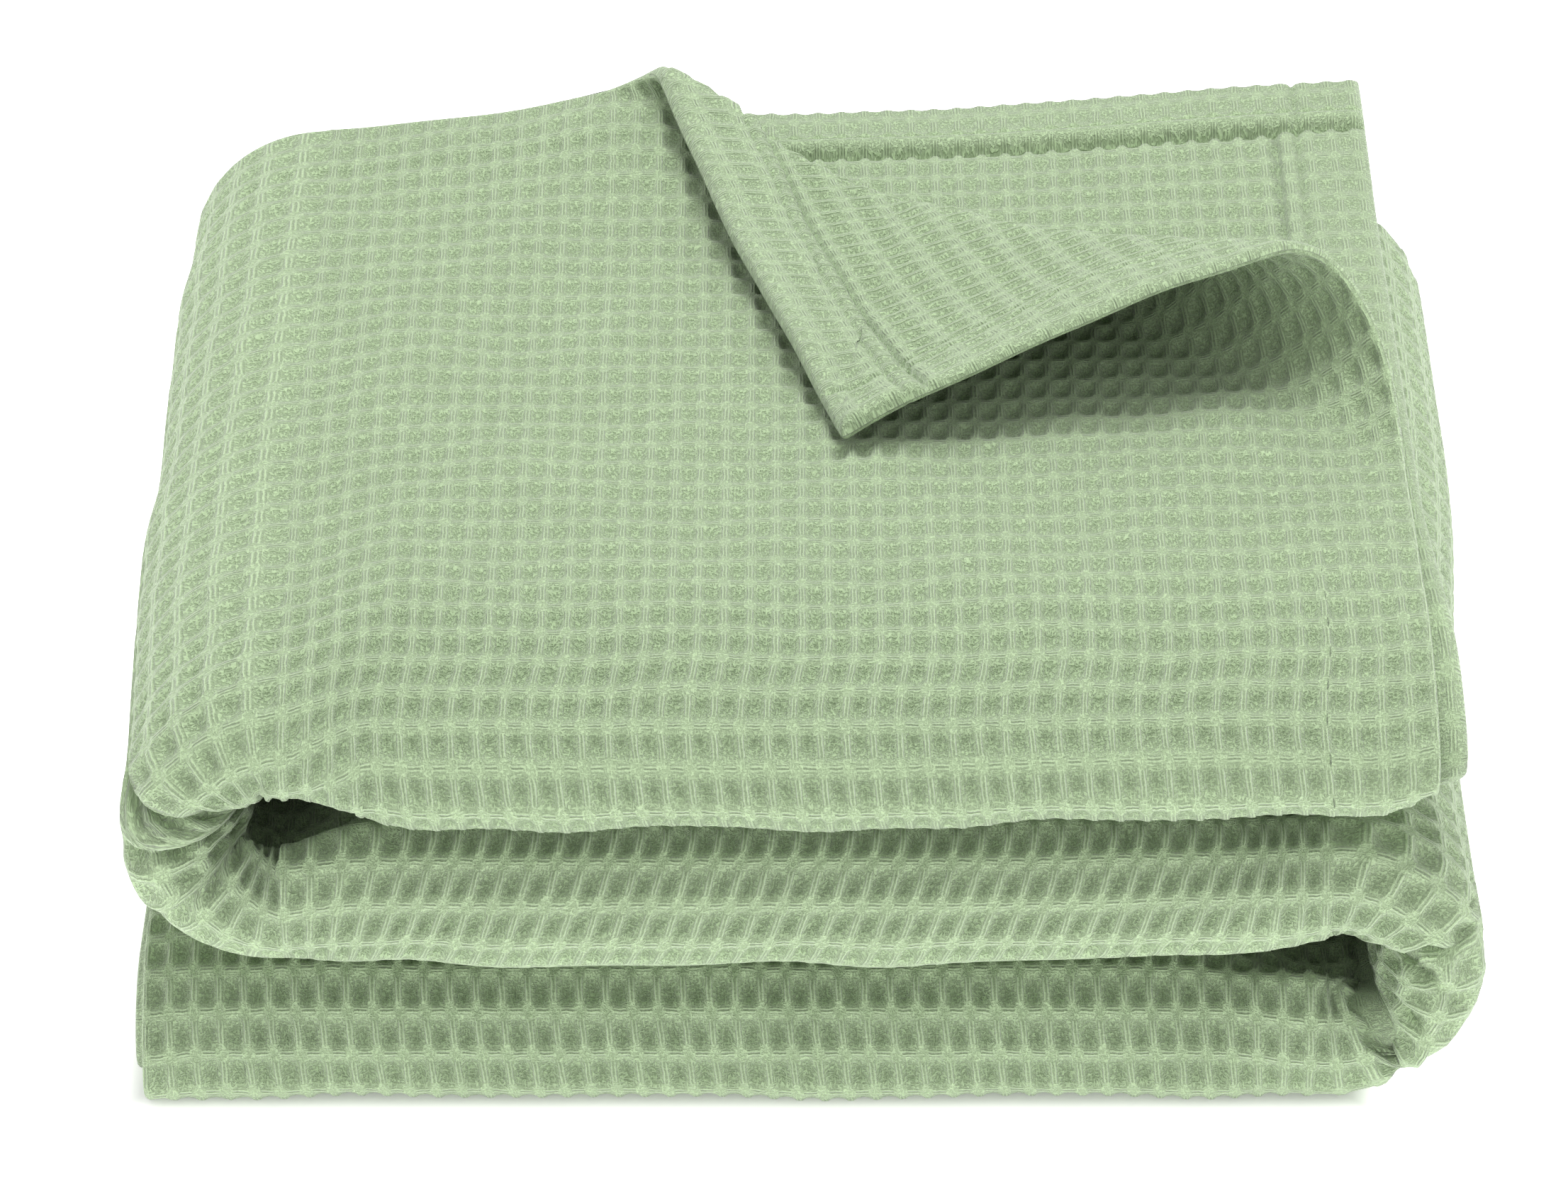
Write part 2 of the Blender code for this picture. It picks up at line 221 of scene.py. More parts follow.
# %% [markdown]
# The outer, inner and tucked plies lie at different shares of the layer's thickness, and
# they end at different depths. Further in than `CLOSES_FROM` the hollows at the folds
# close, and just behind its front edge the layer under a hollow dips.

# %% The plies
OUTER, INNER, TUCKED = 1.0, 0.6, 0.2
INNER_SETBACK = 1.1
TUCKED_FRONT = 5.6
OUTER_BACK = 49.6
INNER_BACK, INNER_BACK_FROM, INNER_BACK_SKEW, INNER_BACK_LESS = 3.0, (-12.0, -2.0), 0.07, 0.5
INNER_RIGHT, INNER_RIGHT_BACK, INNER_RIGHT_FROM = 1.1, 0.6, (5.0, 20.0)
INNER_LEFT_SHARE = 0.3
TURN_BACK = 47.6
RIGHT_WRAP_BACK = 6.5
CLOSES_FROM = (7.0, 18.0)
CLOSED_HALF = {"left": 2.75, "right": 2.85}
DIP, DIP_FROM, DIP_REACH = 0.42, (1.6, 4.6), 5.5
DIP_TURN = {"left": (0.66, 0.76), "right": (0.78, 0.84)}
print("the outer ply is", OUTER_BACK, "cells deep")

# %% [markdown]
# Near the wraps a layer gets thinner. The first three tables go across the stack, and the
# other two by the degrees turned on a wrap.

# %% Half the thickness of the layers
TOP_HALF = (
    (-19.6, 2.25), (-18.3, 2.18), (-16.1, 2.62), (-14.0, 2.75),
    (4.0, 2.75), (16.0, 2.45), (23.0, 2.47), (24.7, 2.0),
)
MIDDLE_HALF = ((-19.6, 2.40), (-17.2, 2.90), (8.0, 2.90), (16.0, 2.65), (20.7, 2.45))
BOTTOM_HALF = ((-24.8, 2.55), (-23.0, 2.86), (19.0, 2.86), (20.7, 2.80))
LEFT_WRAP_HALF = (
    (0, 2.25), (45, 2.10), (60, 1.85), (72, 1.50), (76, 1.50), (84, 2.00),
    (92, 2.30), (118, 2.35), (126, 2.20), (134, 2.35), (180, 2.40),
)
RIGHT_WRAP_HALF = (
    (0, 2.45), (48, 2.20), (62, 1.90), (73, 1.60), (80, 1.80), (104, 1.90), (121, 1.70),
    (134, 1.05), (144, 0.80), (147, 1.10), (149.5, 2.45), (158, 2.68), (180, 2.80),
)
print("the right wrap is thinnest, at", min(half for _, half in RIGHT_WRAP_HALF), "cells")

# %% [markdown]
# The left wrap's front edge needs a table of its own. Past the quarter turn its inner side
# opens towards us, as a long slope into the hollow. In a few places a front edge is also
# tucked in sharply, and there we list the place across the cloth, half the width and the
# depth.

# %% The left wrap's edge and the tucks
LEFT_WRAP_EDGE = (
    # degrees turned, front, first, second, bulge, slide
    (0, 0.44, 5.0, 1.65, -0.14, 0.14),
    (60, 0.45, 3.4, 1.65, -0.05, 0.2),
    (76, 0.50, 3.0, 1.70, 0.10, 0.2),
    (84, 0.50, 2.6, 3.20, 0.40, 0.2),
    (92, 0.35, 2.4, 6.00, 0.55, 0.2),
    (118, 0.25, 2.2, 6.00, 0.60, 0.2),
    (125, 0.45, 2.2, 4.00, 0.40, 0.2),
    (132, 0.25, 2.4, 3.00, 0.25, 0.2),
    (180, 0.35, 2.88, 2.02, 0.06, 0.32),
)
TUCKS = ((49.2, 0.26, 0.80), (50.4, 0.24, 0.40), (100.8, 0.35, 0.60), (105.3, 0.36, 0.80))
print(len(TUCKS), "tucks")

# %% [markdown]
# Now the lengths of the cloth itself, in cells: eleven stretches along v, and five courses
# along u. Their sums are the size of the flat cloth.

# %% The lengths
STRETCHES = {
    "outer top": 39.94,
    "outer front": 13.6,
    "outer bottom": 46.5,
    "outer turn": 5.2,
    "tucked upper": 42.8,
    "tucked fold": 1.8,
    "tucked lower": 42.8,
    "inner turn": 1.8,
    "inner bottom": 45.5,
    "inner front": 9.4,
    "inner top": 42.4,
}
TOP_RUN = TOP_RIGHT_X - LEFT_WRAP_X
MIDDLE_RUN = RIGHT_WRAP_X - LEFT_WRAP_X
BOTTOM_RUN = RIGHT_WRAP_X - BOTTOM_LEFT_X
WRAP_RUN = 11.5
COURSES = {
    "top": TOP_RUN,
    "left wrap": WRAP_RUN,
    "middle": MIDDLE_RUN,
    "right wrap": WRAP_RUN,
    "bottom": BOTTOM_RUN,
}
ACROSS, ALONG = sum(COURSES.values()), sum(STRETCHES.values())
print("the flat cloth is", round(ACROSS * CELL, 3), "by", round(ALONG * CELL, 3), "metres")

# %% [markdown]
# Small helpers come next. `ramp` is the one we use most: it goes smoothly from 0 to 1
# between two places, so a change never leaves a kink in the cloth.


# %% Helpers for soft changes
def smooth(share):
    share = np.clip(share, 0.0, 1.0)
    return share * share * (3 - 2 * share)


def ramp(place, bounds):
    """Goes from 0 to 1 between two places, with level ends."""
    return smooth((place - bounds[0]) / (bounds[1] - bounds[0]))


def blend(a, b, share):
    return a + (b - a) * share


def start_of(table, name):
    """Where a stretch or a course begins."""
    names = list(table)
    return sum(table[n] for n in names[: names.index(name)])


def course_at(u):
    """The course that a place across the cloth is on, and its share of the way along it."""
    for name, length in COURSES.items():
        if u <= length + 1e-6:
            return name, min(1.0, u / length)
        u -= length
    return name, 1.0


print("the ramp half way is", float(ramp(5.0, (0.0, 10.0))))

# %% [markdown]
# ## The layers seen from the front
# Seen from the front the layers are three flat runs, joined by a half circle at the left
# and one at the right. For each u we work out the layer's middle, which way its first
# side faces, and how its rounded front edge is shaped there.


# %% The straight runs
EDGE_KEYS = ("front", "first", "second", "bulge", "slide")


def front_of(layer, share):
    return {key: blend(layer[key], WRAP[key], share) for key in EDGE_KEYS}


def thickness(table, place, reach):
    """Half a layer's thickness from its table, with the table's corners rounded off."""
    places, halves = zip(*table)
    return float(np.mean(np.interp(place + np.linspace(-reach, reach, 9), places, halves)))


def run_frame(layer, table, x, ease, outer_up):
    """A flat part of a layer, thinner towards a wrap."""
    found = front_of(layer, ease * FRONT_EASE)
    found["half"] = thickness(table, x, 0.8)
    lost = layer["half"] - found["half"]
    found["x"] = x
    found["z"] = layer["z"] + (lost if outer_up else -lost)
    return found


print("the top layer is", round(2 * TOP["half"] * CELL * 1000), "mm thick")

# %% [markdown]
# On a wrap the layer turns through half a circle, and its radius changes steadily from
# one layer's outside to the other's.


# %% The wraps
def wrap_frame(centre_x, centre_z, upper, lower, table, turn, side):
    """A place on the half circle where one layer turns into the next."""
    half = thickness(table, math.degrees(turn), 1.6)
    reach_up = upper["z"] + upper["half"] - centre_z
    reach_down = centre_z - lower["z"] + lower["half"]
    share = turn / math.pi
    radius = blend(reach_up, reach_down, share) - half
    if side < 0:
        degrees = [row[0] for row in LEFT_WRAP_EDGE]
        around = math.degrees(turn) + np.linspace(-2.0, 2.0, 5)
        values = [np.interp(around, degrees, column).mean() for column in list(zip(*LEFT_WRAP_EDGE))[1:]]
        found = dict(zip(EDGE_KEYS, values))
    else:
        found = front_of(upper if share < 0.5 else lower, 1 - (1 - FRONT_EASE) * abs(math.cos(turn)))
    found["half"] = half
    found["x"] = centre_x + side * radius * math.sin(turn)
    found["z"] = centre_z + radius * math.cos(turn)
    return found


a_wrap = wrap_frame(LEFT_WRAP_X, LEFT_WRAP_Z, TOP, MIDDLE, LEFT_WRAP_HALF, math.pi / 2, -1)
print("the left wrap reaches x", round(a_wrap["x"] - a_wrap["half"], 1))

# %% [markdown]
# Now we can ask for the layer at any u.


# %% The layer at one place
def frame_at(u):
    """The layer at a place across the cloth: its middle, its shape and where its first side faces."""
    name, share = course_at(u)
    turn = math.pi * share
    if name == "top":
        x = TOP_RIGHT_X - TOP_RUN * share
        found = run_frame(TOP, TOP_HALF, x, smooth(1 - (x - LEFT_WRAP_X) / WRAP_EASE), True)
        found["facing"] = (0.0, 1.0)
    elif name == "left wrap":
        found = wrap_frame(LEFT_WRAP_X, LEFT_WRAP_Z, TOP, MIDDLE, LEFT_WRAP_HALF, turn, -1)
        found["facing"] = (-math.sin(turn), math.cos(turn))
    elif name == "middle":
        x = LEFT_WRAP_X + MIDDLE_RUN * share
        left = smooth(1 - (x - LEFT_WRAP_X) / WRAP_EASE)
        right = smooth(1 - (RIGHT_WRAP_X - x) / WRAP_EASE)
        found = run_frame(MIDDLE, MIDDLE_HALF, x, max(left, right), x > 0)
        found["facing"] = (0.0, -1.0)
    elif name == "right wrap":
        found = wrap_frame(RIGHT_WRAP_X, RIGHT_WRAP_Z, MIDDLE, BOTTOM, RIGHT_WRAP_HALF, turn, 1)
        found["facing"] = (-math.sin(turn), -math.cos(turn))
    else:
        x = RIGHT_WRAP_X - BOTTOM_RUN * share
        found = run_frame(BOTTOM, BOTTOM_HALF, x, smooth(1 - (RIGHT_WRAP_X - x) / WRAP_EASE), False)
        found["facing"] = (0.0, 1.0)
    for at_u, width, recess in TUCKS:
        found["front"] += recess * math.exp(-(((u - at_u) / width) ** 2))
    return name, share, found


def further_back(name, share):
    """How much further the cloth reaches back than the top layer does."""
    if name == "middle":
        return RIGHT_WRAP_BACK * smooth(share)
    if name == "right wrap":
        return RIGHT_WRAP_BACK
    if name == "bottom":
        return RIGHT_WRAP_BACK * smooth(1 - 2 * share)
    return 0.0


for place in (0.0, 50.0, 75.0, 102.0, 150.0):
    name, share, layer = frame_at(place)
    print(f"u {place}: {name}, x {layer['x']:.1f}, z {layer['z']:.1f}")

# %% [markdown]
# ## The plies seen from the side
# Seen from the side, each layer is a flat spiral: the outer ply goes forward, round the
# front and back again, then the tucked pair, then the inner ply. Each stretch of the
# spiral is either straight or a rounded turn, so a short function gives its depth and
# its height above the layer's middle.


# %% The front edge
def front_edge(frame, level, setback, share):
    """The rounded front edge of a ply from its first side to its second, two quarter ovals."""
    half, bulge = frame["half"] * level, frame["half"] * frame["bulge"] * level
    foremost = frame["front"] + setback
    depth = frame["first"] - setback
    second_depth = max(frame["second"] - setback, LEAST_DEPTH)
    turn = share / FRONT_SPLIT * math.pi / 2
    after = (share - FRONT_SPLIT) / (1 - FRONT_SPLIT) * math.pi / 2
    y = np.where(
        share < FRONT_SPLIT,
        foremost + depth * (1 - np.sin(turn)),
        foremost + second_depth * (1 - np.cos(after)),
    )
    height = np.where(
        share < FRONT_SPLIT,
        bulge + (half - bulge) * np.cos(turn),
        bulge - (half + bulge) * np.sin(after),
    )
    return y, height


def outer_edge(frame):
    """The outer ply's front edge as a line of points: flat, round the edge, and flat again."""
    quarter = np.linspace(0, 1, 30)
    shares = np.concatenate([quarter * FRONT_SPLIT, FRONT_SPLIT + quarter[1:] * (1 - FRONT_SPLIT)])
    y, height = front_edge(frame, OUTER, 0.0, shares)
    length = np.hypot(np.diff(y), np.diff(height)).sum()
    spare = max(0.0, STRETCHES["outer front"] - length) / 2
    slide = min(frame["slide"], spare)
    y = np.concatenate([[y[0] + spare + slide], y, [y[-1] + spare - slide]])
    height = np.concatenate([[height[0]], height, [height[-1]]])
    return y, height


def along_edge(share, edge):
    """Places at even distances along a line of points."""
    y, height = edge
    far = np.concatenate([[0.0], np.cumsum(np.hypot(np.diff(y), np.diff(height)))])
    return np.interp(share, far / far[-1], y), np.interp(share, far / far[-1], height)


print("the middle of the top's front edge:", outer_edge(frame_at(20.0)[2])[0].min().round(2), "cells back")

# %% [markdown]
# The spiral's stretches follow in the order of the cloth, from the hem of the outer ply
# to the hem of the inner ply.


# %% The stretches of a layer
def stretch_place(name, share, frame, back):
    """Depth and height above the layer's middle, for shares of the way along one stretch."""
    half = frame["half"]
    edge = outer_edge(frame)
    first, second = edge[0][0], edge[0][-1]
    inner_first = frame["front"] + frame["first"]
    inner_second = frame["front"] + INNER_SETBACK + max(frame["second"] - INNER_SETBACK, LEAST_DEPTH)
    turn_y = TURN_BACK + back
    tucked_y = frame["front"] + TUCKED_FRONT
    turn = math.pi * share
    if name == "outer top":
        return blend(OUTER_BACK + back, first, share), half + 0 * share
    if name == "outer front":
        return along_edge(share, edge)
    if name == "outer bottom":
        return blend(second, turn_y, share), -half + 0 * share
    if name == "outer turn":
        middle, reach = half * (TUCKED - OUTER) / 2, half * (TUCKED + OUTER) / 2
        return turn_y + reach * np.sin(turn), middle - reach * np.cos(turn)
    if name == "tucked upper":
        return blend(turn_y, tucked_y, share), half * TUCKED + 0 * share
    if name == "tucked fold":
        return tucked_y - half * TUCKED * np.sin(turn), half * TUCKED * np.cos(turn)
    if name == "tucked lower":
        return blend(tucked_y, turn_y, share), -half * TUCKED + 0 * share
    if name == "inner turn":
        middle, reach = -half * (TUCKED + INNER) / 2, half * (INNER - TUCKED) / 2
        return turn_y + reach * np.sin(turn), middle + reach * np.cos(turn)
    if name == "inner bottom":
        return blend(turn_y, inner_second, share), -half * INNER + 0 * share
    if name == "inner front":
        return front_edge(frame, INNER, INNER_SETBACK, 1 - share)
    out = INNER_BACK * ramp(frame["x"], INNER_BACK_FROM) + INNER_BACK_SKEW * max(0.0, frame["x"])
    hem_y = OUTER_BACK + max(back - INNER_BACK_LESS, out)
    return blend(inner_first, hem_y, share), half * INNER + 0 * share


print("the spiral has", len(STRETCHES), "stretches")


# %% All the plies at once
def section(vs, frame, back):
    """Depth and height above the layer's middle for places along the six plies."""
    y, height = np.zeros_like(vs), np.zeros_like(vs)
    start = 0.0
    for name, length in STRETCHES.items():
        here = (vs >= start - 1e-6) & (vs <= start + length + 1e-6)
        share = np.clip((vs[here] - start) / length, 0, 1)
        y[here], height[here] = stretch_place(name, share, frame, back)
        start += length
    return y, height


some_y, some_height = section(np.array([0.0, 46.0, 100.0, 290.0]), frame_at(20.0)[2], 0.0)
print("depths", some_y.round(1), "heights", some_height.round(1))

# %% [markdown]
# ## What makes the stack uneven
# Nobody folds a blanket quite square. The stack sinks a little towards its back, the
# left side is drawn in, the right wrap splays out, and the inner ply peeps out at the
# open side. In the front bands the columns of the weave also lean, each layer its own
# way, and on the right half of the top the rows run a little to the back.

# %% The uneven places
BACK_SINK, BACK_SINK_FROM = 0.093, (2.0, 60.0)
CORNER_LIFT, CORNER_LIFT_FROM_X, CORNER_LIFT_FROM_Y = 0.8, (5.0, 25.0), (40.0, 54.0)
LEFT_DRAW, LEFT_DRAW_FROM_X, LEFT_DRAW_FROM_Y = 0.45, (-10.0, -22.0), (25.0, 0.0)
RIGHT_SPLAY, RIGHT_SPLAY_FROM_X, RIGHT_SPLAY_FROM_Y = 1.5, (10.0, 22.0), (12.0, 40.0)
LEAN = {"top": -0.14, "left wrap": 0.0, "middle": 0.32, "right wrap": 0.0, "bottom": -0.12}
ROW_SLANT, ROW_SLANT_FROM, ROW_SLANT_TO = 0.057, (6.0, 22.0), (47.0, 36.0)
LEAN_MIDDLE = {"top": 14.0, "left wrap": 12.0, "middle": 9.0, "right wrap": 6.0, "bottom": 3.0}


def inner_stands_out(name, share, vs, y):
    """How far the inner plies stand out at the open ends of the strip."""
    inner = vs > start_of(STRETCHES, "inner turn")
    tucked = (vs > start_of(STRETCHES, "tucked upper")) & ~inner
    out = np.where(inner, blend(INNER_RIGHT, INNER_RIGHT_BACK, ramp(y, INNER_RIGHT_FROM)), 0.0)
    out = np.where(tucked, INNER_RIGHT / 2, out)
    if name == "top":
        return out * (1 - share)
    if name == "bottom":
        return -INNER_LEFT_SHARE * out * share
    return 0.0 * out


def spread(name, x, y):
    """Moves the sides of the stack left or right."""
    left = LEFT_DRAW * ramp(x, LEFT_DRAW_FROM_X) * ramp(y, LEFT_DRAW_FROM_Y)
    right = RIGHT_SPLAY * ramp(x, RIGHT_SPLAY_FROM_X) * ramp(y, RIGHT_SPLAY_FROM_Y)
    if name in ("top", "left wrap"):
        return left
    if name == "middle":
        return np.where(x < 0, left, right)
    return right


def leaning(name, share, y, z):
    """The columns of the front bands lean to one side."""
    ends = ramp(min(share, 1 - share), (0.0, 0.12)) if "wrap" not in name else 0.0
    return LEAN[name] * ends * (z - LEAN_MIDDLE[name]) * ramp(y, (6.0, 1.5))


def slanted(name, frame, vs):
    """On the right half of the top, the rows of the weave run a little towards the back."""
    if name != "top":
        return vs
    x = frame["x"]
    moved = ROW_SLANT * (x * smooth(x / 8.0) if x > 0 else 0.0)
    return vs - moved * ramp(vs, ROW_SLANT_FROM) * ramp(vs, ROW_SLANT_TO)


def sunk(y, z):
    start, end = BACK_SINK_FROM
    share = np.clip((y - start) / (end - start), 0, 1)
    return PLY / 2 + (z - PLY / 2) * (1 - BACK_SINK * share)


print("the back is", round(100 * BACK_SINK), "percent lower")

# %% [markdown]
# ## The turned-back corner
# One corner of the outer ply is folded back to the front left. The cloth rolls over on a
# slanting line with a loose radius, tight in the middle of the fold and wide at the open
# side, and comes down to rest on its tip. We measure each point's place along the fold
# and beyond it: points beyond the line go round the roll and lie down on the far side.

# %% The roll of the corner
FOLD_X = -5.9
FOLD_ANGLE = math.radians(37.2)
ROLL_LEAST = 0.55
ROLL_WAIST = (8.0, 14.0)
ROLL_GROWTH_BACK, ROLL_GROWTH_RIGHT = 0.05, 0.104
ROLL_STANDS, ROLL_STANDS_FROM = 0.25, (20.0, 34.0)
FLAP_ARCH, FLAP_REST, FLAP_MOST = 1.3, 1.05, 0.98
PEAK_LIFT, PEAK_SPREAD = 2.0, 7.5


def roll_radius(along):
    back = np.maximum(0.0, ROLL_WAIST[0] - along)
    right = np.maximum(0.0, along - ROLL_WAIST[1])
    return ROLL_LEAST + ROLL_GROWTH_BACK * back + ROLL_GROWTH_RIGHT * right


def roll_height(along):
    """Half of the height that the cloth stands up to at its roll."""
    return roll_radius(along) * (1 + ROLL_STANDS * ramp(along, ROLL_STANDS_FROM))


def flap_height(along, past):
    """Height of the turned-back cloth: straight lines run from its roll down to its tip."""
    hem = TOP_RIGHT_X - FOLD_X
    tip_along = hem * math.cos(FOLD_ANGLE)
    tip_past = hem * math.sin(FOLD_ANGLE) - math.pi * roll_radius(tip_along) / 2
    share = np.clip(past / tip_past, 0.0, FLAP_MOST)
    end = hem / math.cos(FOLD_ANGLE)
    from_roll = np.clip((along - share * tip_along) / (1 - share), 0.0, end)
    return blend(2 * roll_height(from_roll), FLAP_REST, share**FLAP_ARCH)


print("the roll grows from", ROLL_LEAST, "to", round(float(roll_radius(38.0)), 1), "cells in radius")

# %% [markdown]
# Each point of the ply is either before the roll, on it, or past it. Where the roll
# leaves the back hem the ply is lifted a little.


# %% The fold of the corner
def fold_corner(x, y):
    """Turns the corner of the outer top ply back. Gives its place and its height above the ply."""
    along_x, along_y = math.cos(FOLD_ANGLE), -math.sin(FOLD_ANGLE)
    beyond_x, beyond_y = math.sin(FOLD_ANGLE), math.cos(FOLD_ANGLE)
    along = (x - FOLD_X) * along_x + (y - OUTER_BACK) * along_y
    beyond = (x - FOLD_X) * beyond_x + (y - OUTER_BACK) * beyond_y
    radius = roll_radius(along)
    rolled = beyond + math.pi * radius / 2
    on_roll = np.clip(rolled / radius, 0, math.pi)
    lies_back = rolled > math.pi * radius
    moved = np.where(lies_back, -beyond, radius * np.sin(on_roll) - math.pi * radius / 2)
    height = roll_height(along) * (1 - np.cos(on_roll))
    height = np.where(lies_back, flap_height(along, rolled - math.pi * radius), height)
    start_x, start_y = FOLD_X + along * along_x, OUTER_BACK + along * along_y
    turned_x = np.where(rolled > 0, start_x + moved * beyond_x, x)
    turned_y = np.where(rolled > 0, start_y + moved * beyond_y, y)
    return turned_x, turned_y, np.where(rolled > 0, height, 0.0)


def peak(x, y):
    """Lift of the outer top ply round the place where the fold leaves the back hem."""
    away = ((x - FOLD_X) / PEAK_SPREAD) ** 2 + ((y - OUTER_BACK) / PEAK_SPREAD) ** 2
    return PEAK_LIFT * np.exp(-away)


print("the fold's hem line is", round(TOP_RIGHT_X - FOLD_X, 1), "cells long")

# %% [markdown]
# ## One rule for the middle of the cloth
# Now the pieces of the rule come together. For a list of columns u and a list of rows v
# we get a whole grid of points in the middle of the cloth's thickness.


# %% The middle of the cloth
def closes_inside(name, share, frame, y, height):
    """Lets the layer under a hollow dip behind its front edge, and closes the hollow further in."""
    left = name in ("left wrap", "top") or (name == "middle" and share < 0.5)
    side = "left" if left else "right"
    outside = frame["half"] if left else -frame["half"]
    if name in ("middle", "bottom"):
        away = frame["x"] - LEFT_WRAP_X if left else RIGHT_WRAP_X - frame["x"]
        dips = float(smooth(1 - away / DIP_REACH))
    else:
        dips = float(ramp(share, DIP_TURN[side])) if "wrap" in name else 0.0
    dip = 1 - DIP * dips * ramp(y, DIP_FROM)
    closed = max(CLOSED_HALF[side], frame["half"]) / frame["half"]
    scale = blend(dip, closed, ramp(y, CLOSES_FROM))
    return outside - (outside - height) * scale


def column_of_points(u, vs):
    """The points of one column of the cloth, in cells, before the stack is centred."""
    name, share, frame = frame_at(u)
    y, height = section(slanted(name, frame, vs), frame, further_back(name, share))
    height = closes_inside(name, share, frame, y, height)
    x = frame["x"] + frame["facing"][0] * height + inner_stands_out(name, share, vs, y)
    z = frame["z"] + frame["facing"][1] * height
    x = x + spread(name, x, y) + leaning(name, share, y, z)
    lift = np.zeros_like(vs)
    if name == "top":
        outer = vs <= STRETCHES["outer top"]
        turned_x, turned_y, turned_lift = fold_corner(x, y)
        x = np.where(outer, turned_x, x)
        y = np.where(outer, turned_y, y)
        lift = np.where(outer, turned_lift + peak(x, y), 0.0)
        inner = vs >= start_of(STRETCHES, "inner top")
        corner = CORNER_LIFT * ramp(x, CORNER_LIFT_FROM_X) * ramp(y, CORNER_LIFT_FROM_Y)
        lift = np.where(inner, corner, lift)
    return np.stack([x + CENTRE[0], y + CENTRE[1], sunk(y, z) + lift], axis=-1)


def middle_of_cloth(us, vs):
    return np.stack([column_of_points(u, vs) for u in us])


test_grid = middle_of_cloth(np.linspace(0, ACROSS, 40), np.linspace(0, ALONG, 60))
print("the folded cloth spans", (np.ptp(test_grid, axis=(0, 1)) * CELL).round(3), "metres")

# %% [markdown]
# ## The waffle
# In a waffle weave long yarns float over ridges round every cell, and short ones sink
# into its middle. The cloth is a grid of rounded hollows, one cell wide and 1.6 cells
# high, and the wrong side has the same hollows half a cell further on. We model the
# hollows as real relief, because they shade each other and make the outline bumpy.

# %% The relief of the weave
ROW = 1.6  # height of a cell
HOLLOW_DEPTH = 0.36
FRONT_DEEPER, FRONT_ROWS = 0.38, ((38.0, 43.0), (56.0, 52.0))  # round the front edge they open up
HOLLOW_REACH = (0.40, 0.41)  # half width and half height of the hollow, as shares of the cell
HOLLOW_SQUARE = 3.2  # 2 is an oval hollow, and more is squarer
CROSSING_DROP, CROSSING_SIZE = 0.05, (0.13, 0.12)  # where two ridges cross


def in_cell(us, vs, side):
    """Places inside the cell, from -0.5 to 0.5, with the hollow in the middle."""
    shift = 0.0 if side > 0 else 0.5
    s = (us + shift) % 1.0 - 0.5
    t = (vs / ROW + shift) % 1.0 - 0.5
    return s[:, None], t[None, :]


def waffle(us, vs, side):
    """Height of the relief below its highest ridges, in cells."""
    s, t = in_cell(us, vs, side)
    away = (np.abs(s) / HOLLOW_REACH[0]) ** HOLLOW_SQUARE + (np.abs(t) / HOLLOW_REACH[1]) ** HOLLOW_SQUARE
    away = away ** (1 / HOLLOW_SQUARE)
    hollow = HOLLOW_DEPTH * (1 - ramp(away, (0.35, 1.08)))
    near_s = np.exp(-(((np.abs(s) - 0.5) / CROSSING_SIZE[0]) ** 2))
    near_t = np.exp(-(((np.abs(t) - 0.5) / CROSSING_SIZE[1]) ** 2))
    return -hollow - CROSSING_DROP * near_s * near_t


deepest = float(waffle(np.array([0.5]), np.array([0.8]), 1)[0, 0])
print("the hollow is", round(-1000 * CELL * deepest, 2), "mm deep")

# %% [markdown]
# ## The hems
# All four edges are turned in and stitched down. A hem is about four cells wide at the
# sides and a little less at the ends. It is thicker on the wrong side, it ends there in
# a small step, its waffle is pressed flatter, and the stitching pulls a groove into it.

# %% The hems
SIDE_HEM, END_HEM = 3.8, 3.6
HEM_THICK = {"side": 0.14, "end": 0.44}
STITCH_IN = 0.80  # the stitching runs this far inside the hem's inner edge
STITCH_DEPTH = {1: 0.05, -1: 0.17}
STITCH_WIDTH = 0.11
HEM_GAP = 0.28  # the dark line under the hem's folded edge
ROLL_FLATTER, HEM_FLATTER = {1: 0.15, -1: 0.6}, {1: 0.1, -1: 0.4}  # how much waffle is lost
COARSE_RELIEF = 0.10  # stands in for the waffle where the lines lie too far apart to draw it
EDGE_ROUND = 0.45
# Lines that the grid needs at a free edge and across a stitched hem edge, from the edge inward.
EDGE_LINES = (0.03, 0.1, 0.22, 0.36)
HEM_LINES = (-0.96, -0.88, -0.8, -0.72, -0.64, -0.45, -0.25, -0.12, -0.05, -0.01, 0.04, 0.12)


def hem_profile(away, hem, extra, side):
    """For a distance from the edge: extra thickness, gap, stitching groove and two kinds of flatness."""
    inside = np.clip((hem - away) / STITCH_IN, 0, 1)
    thick = extra * np.sqrt(1 - (1 - inside) ** 2) * (side < 0)
    gap = HEM_GAP * np.exp(-(((away - hem - 0.07) / 0.09) ** 2)) * (side < 0)
    groove = STITCH_DEPTH[side] * np.exp(-(((away - hem + STITCH_IN) / STITCH_WIDTH) ** 2))
    on_roll = ramp(away, (hem - STITCH_IN - 0.1, hem - STITCH_IN + 0.1)) * ramp(away, (hem + 0.25, hem))
    pressed = ramp(away, (hem + 0.2, hem - 0.2))
    return thick, gap, groove, on_roll, pressed


print("the end hems are", round(1000 * CELL * (PLY + HEM_THICK["end"]), 1), "mm thick")

# %% [markdown]
# The thickness, the relief, the hems and the rounded edge add up to one number for each
# place on the cloth: how far its surface lies from its middle.


# %% The surface's distance from the middle
def close_enough(lines, step):
    """Whether the lines lie close enough, at most half a cell apart, to draw the hollows."""
    gaps = np.diff(lines)
    return np.maximum(np.append(gaps, 0.0), np.insert(gaps, 0, 0.0)) < 0.6 * step


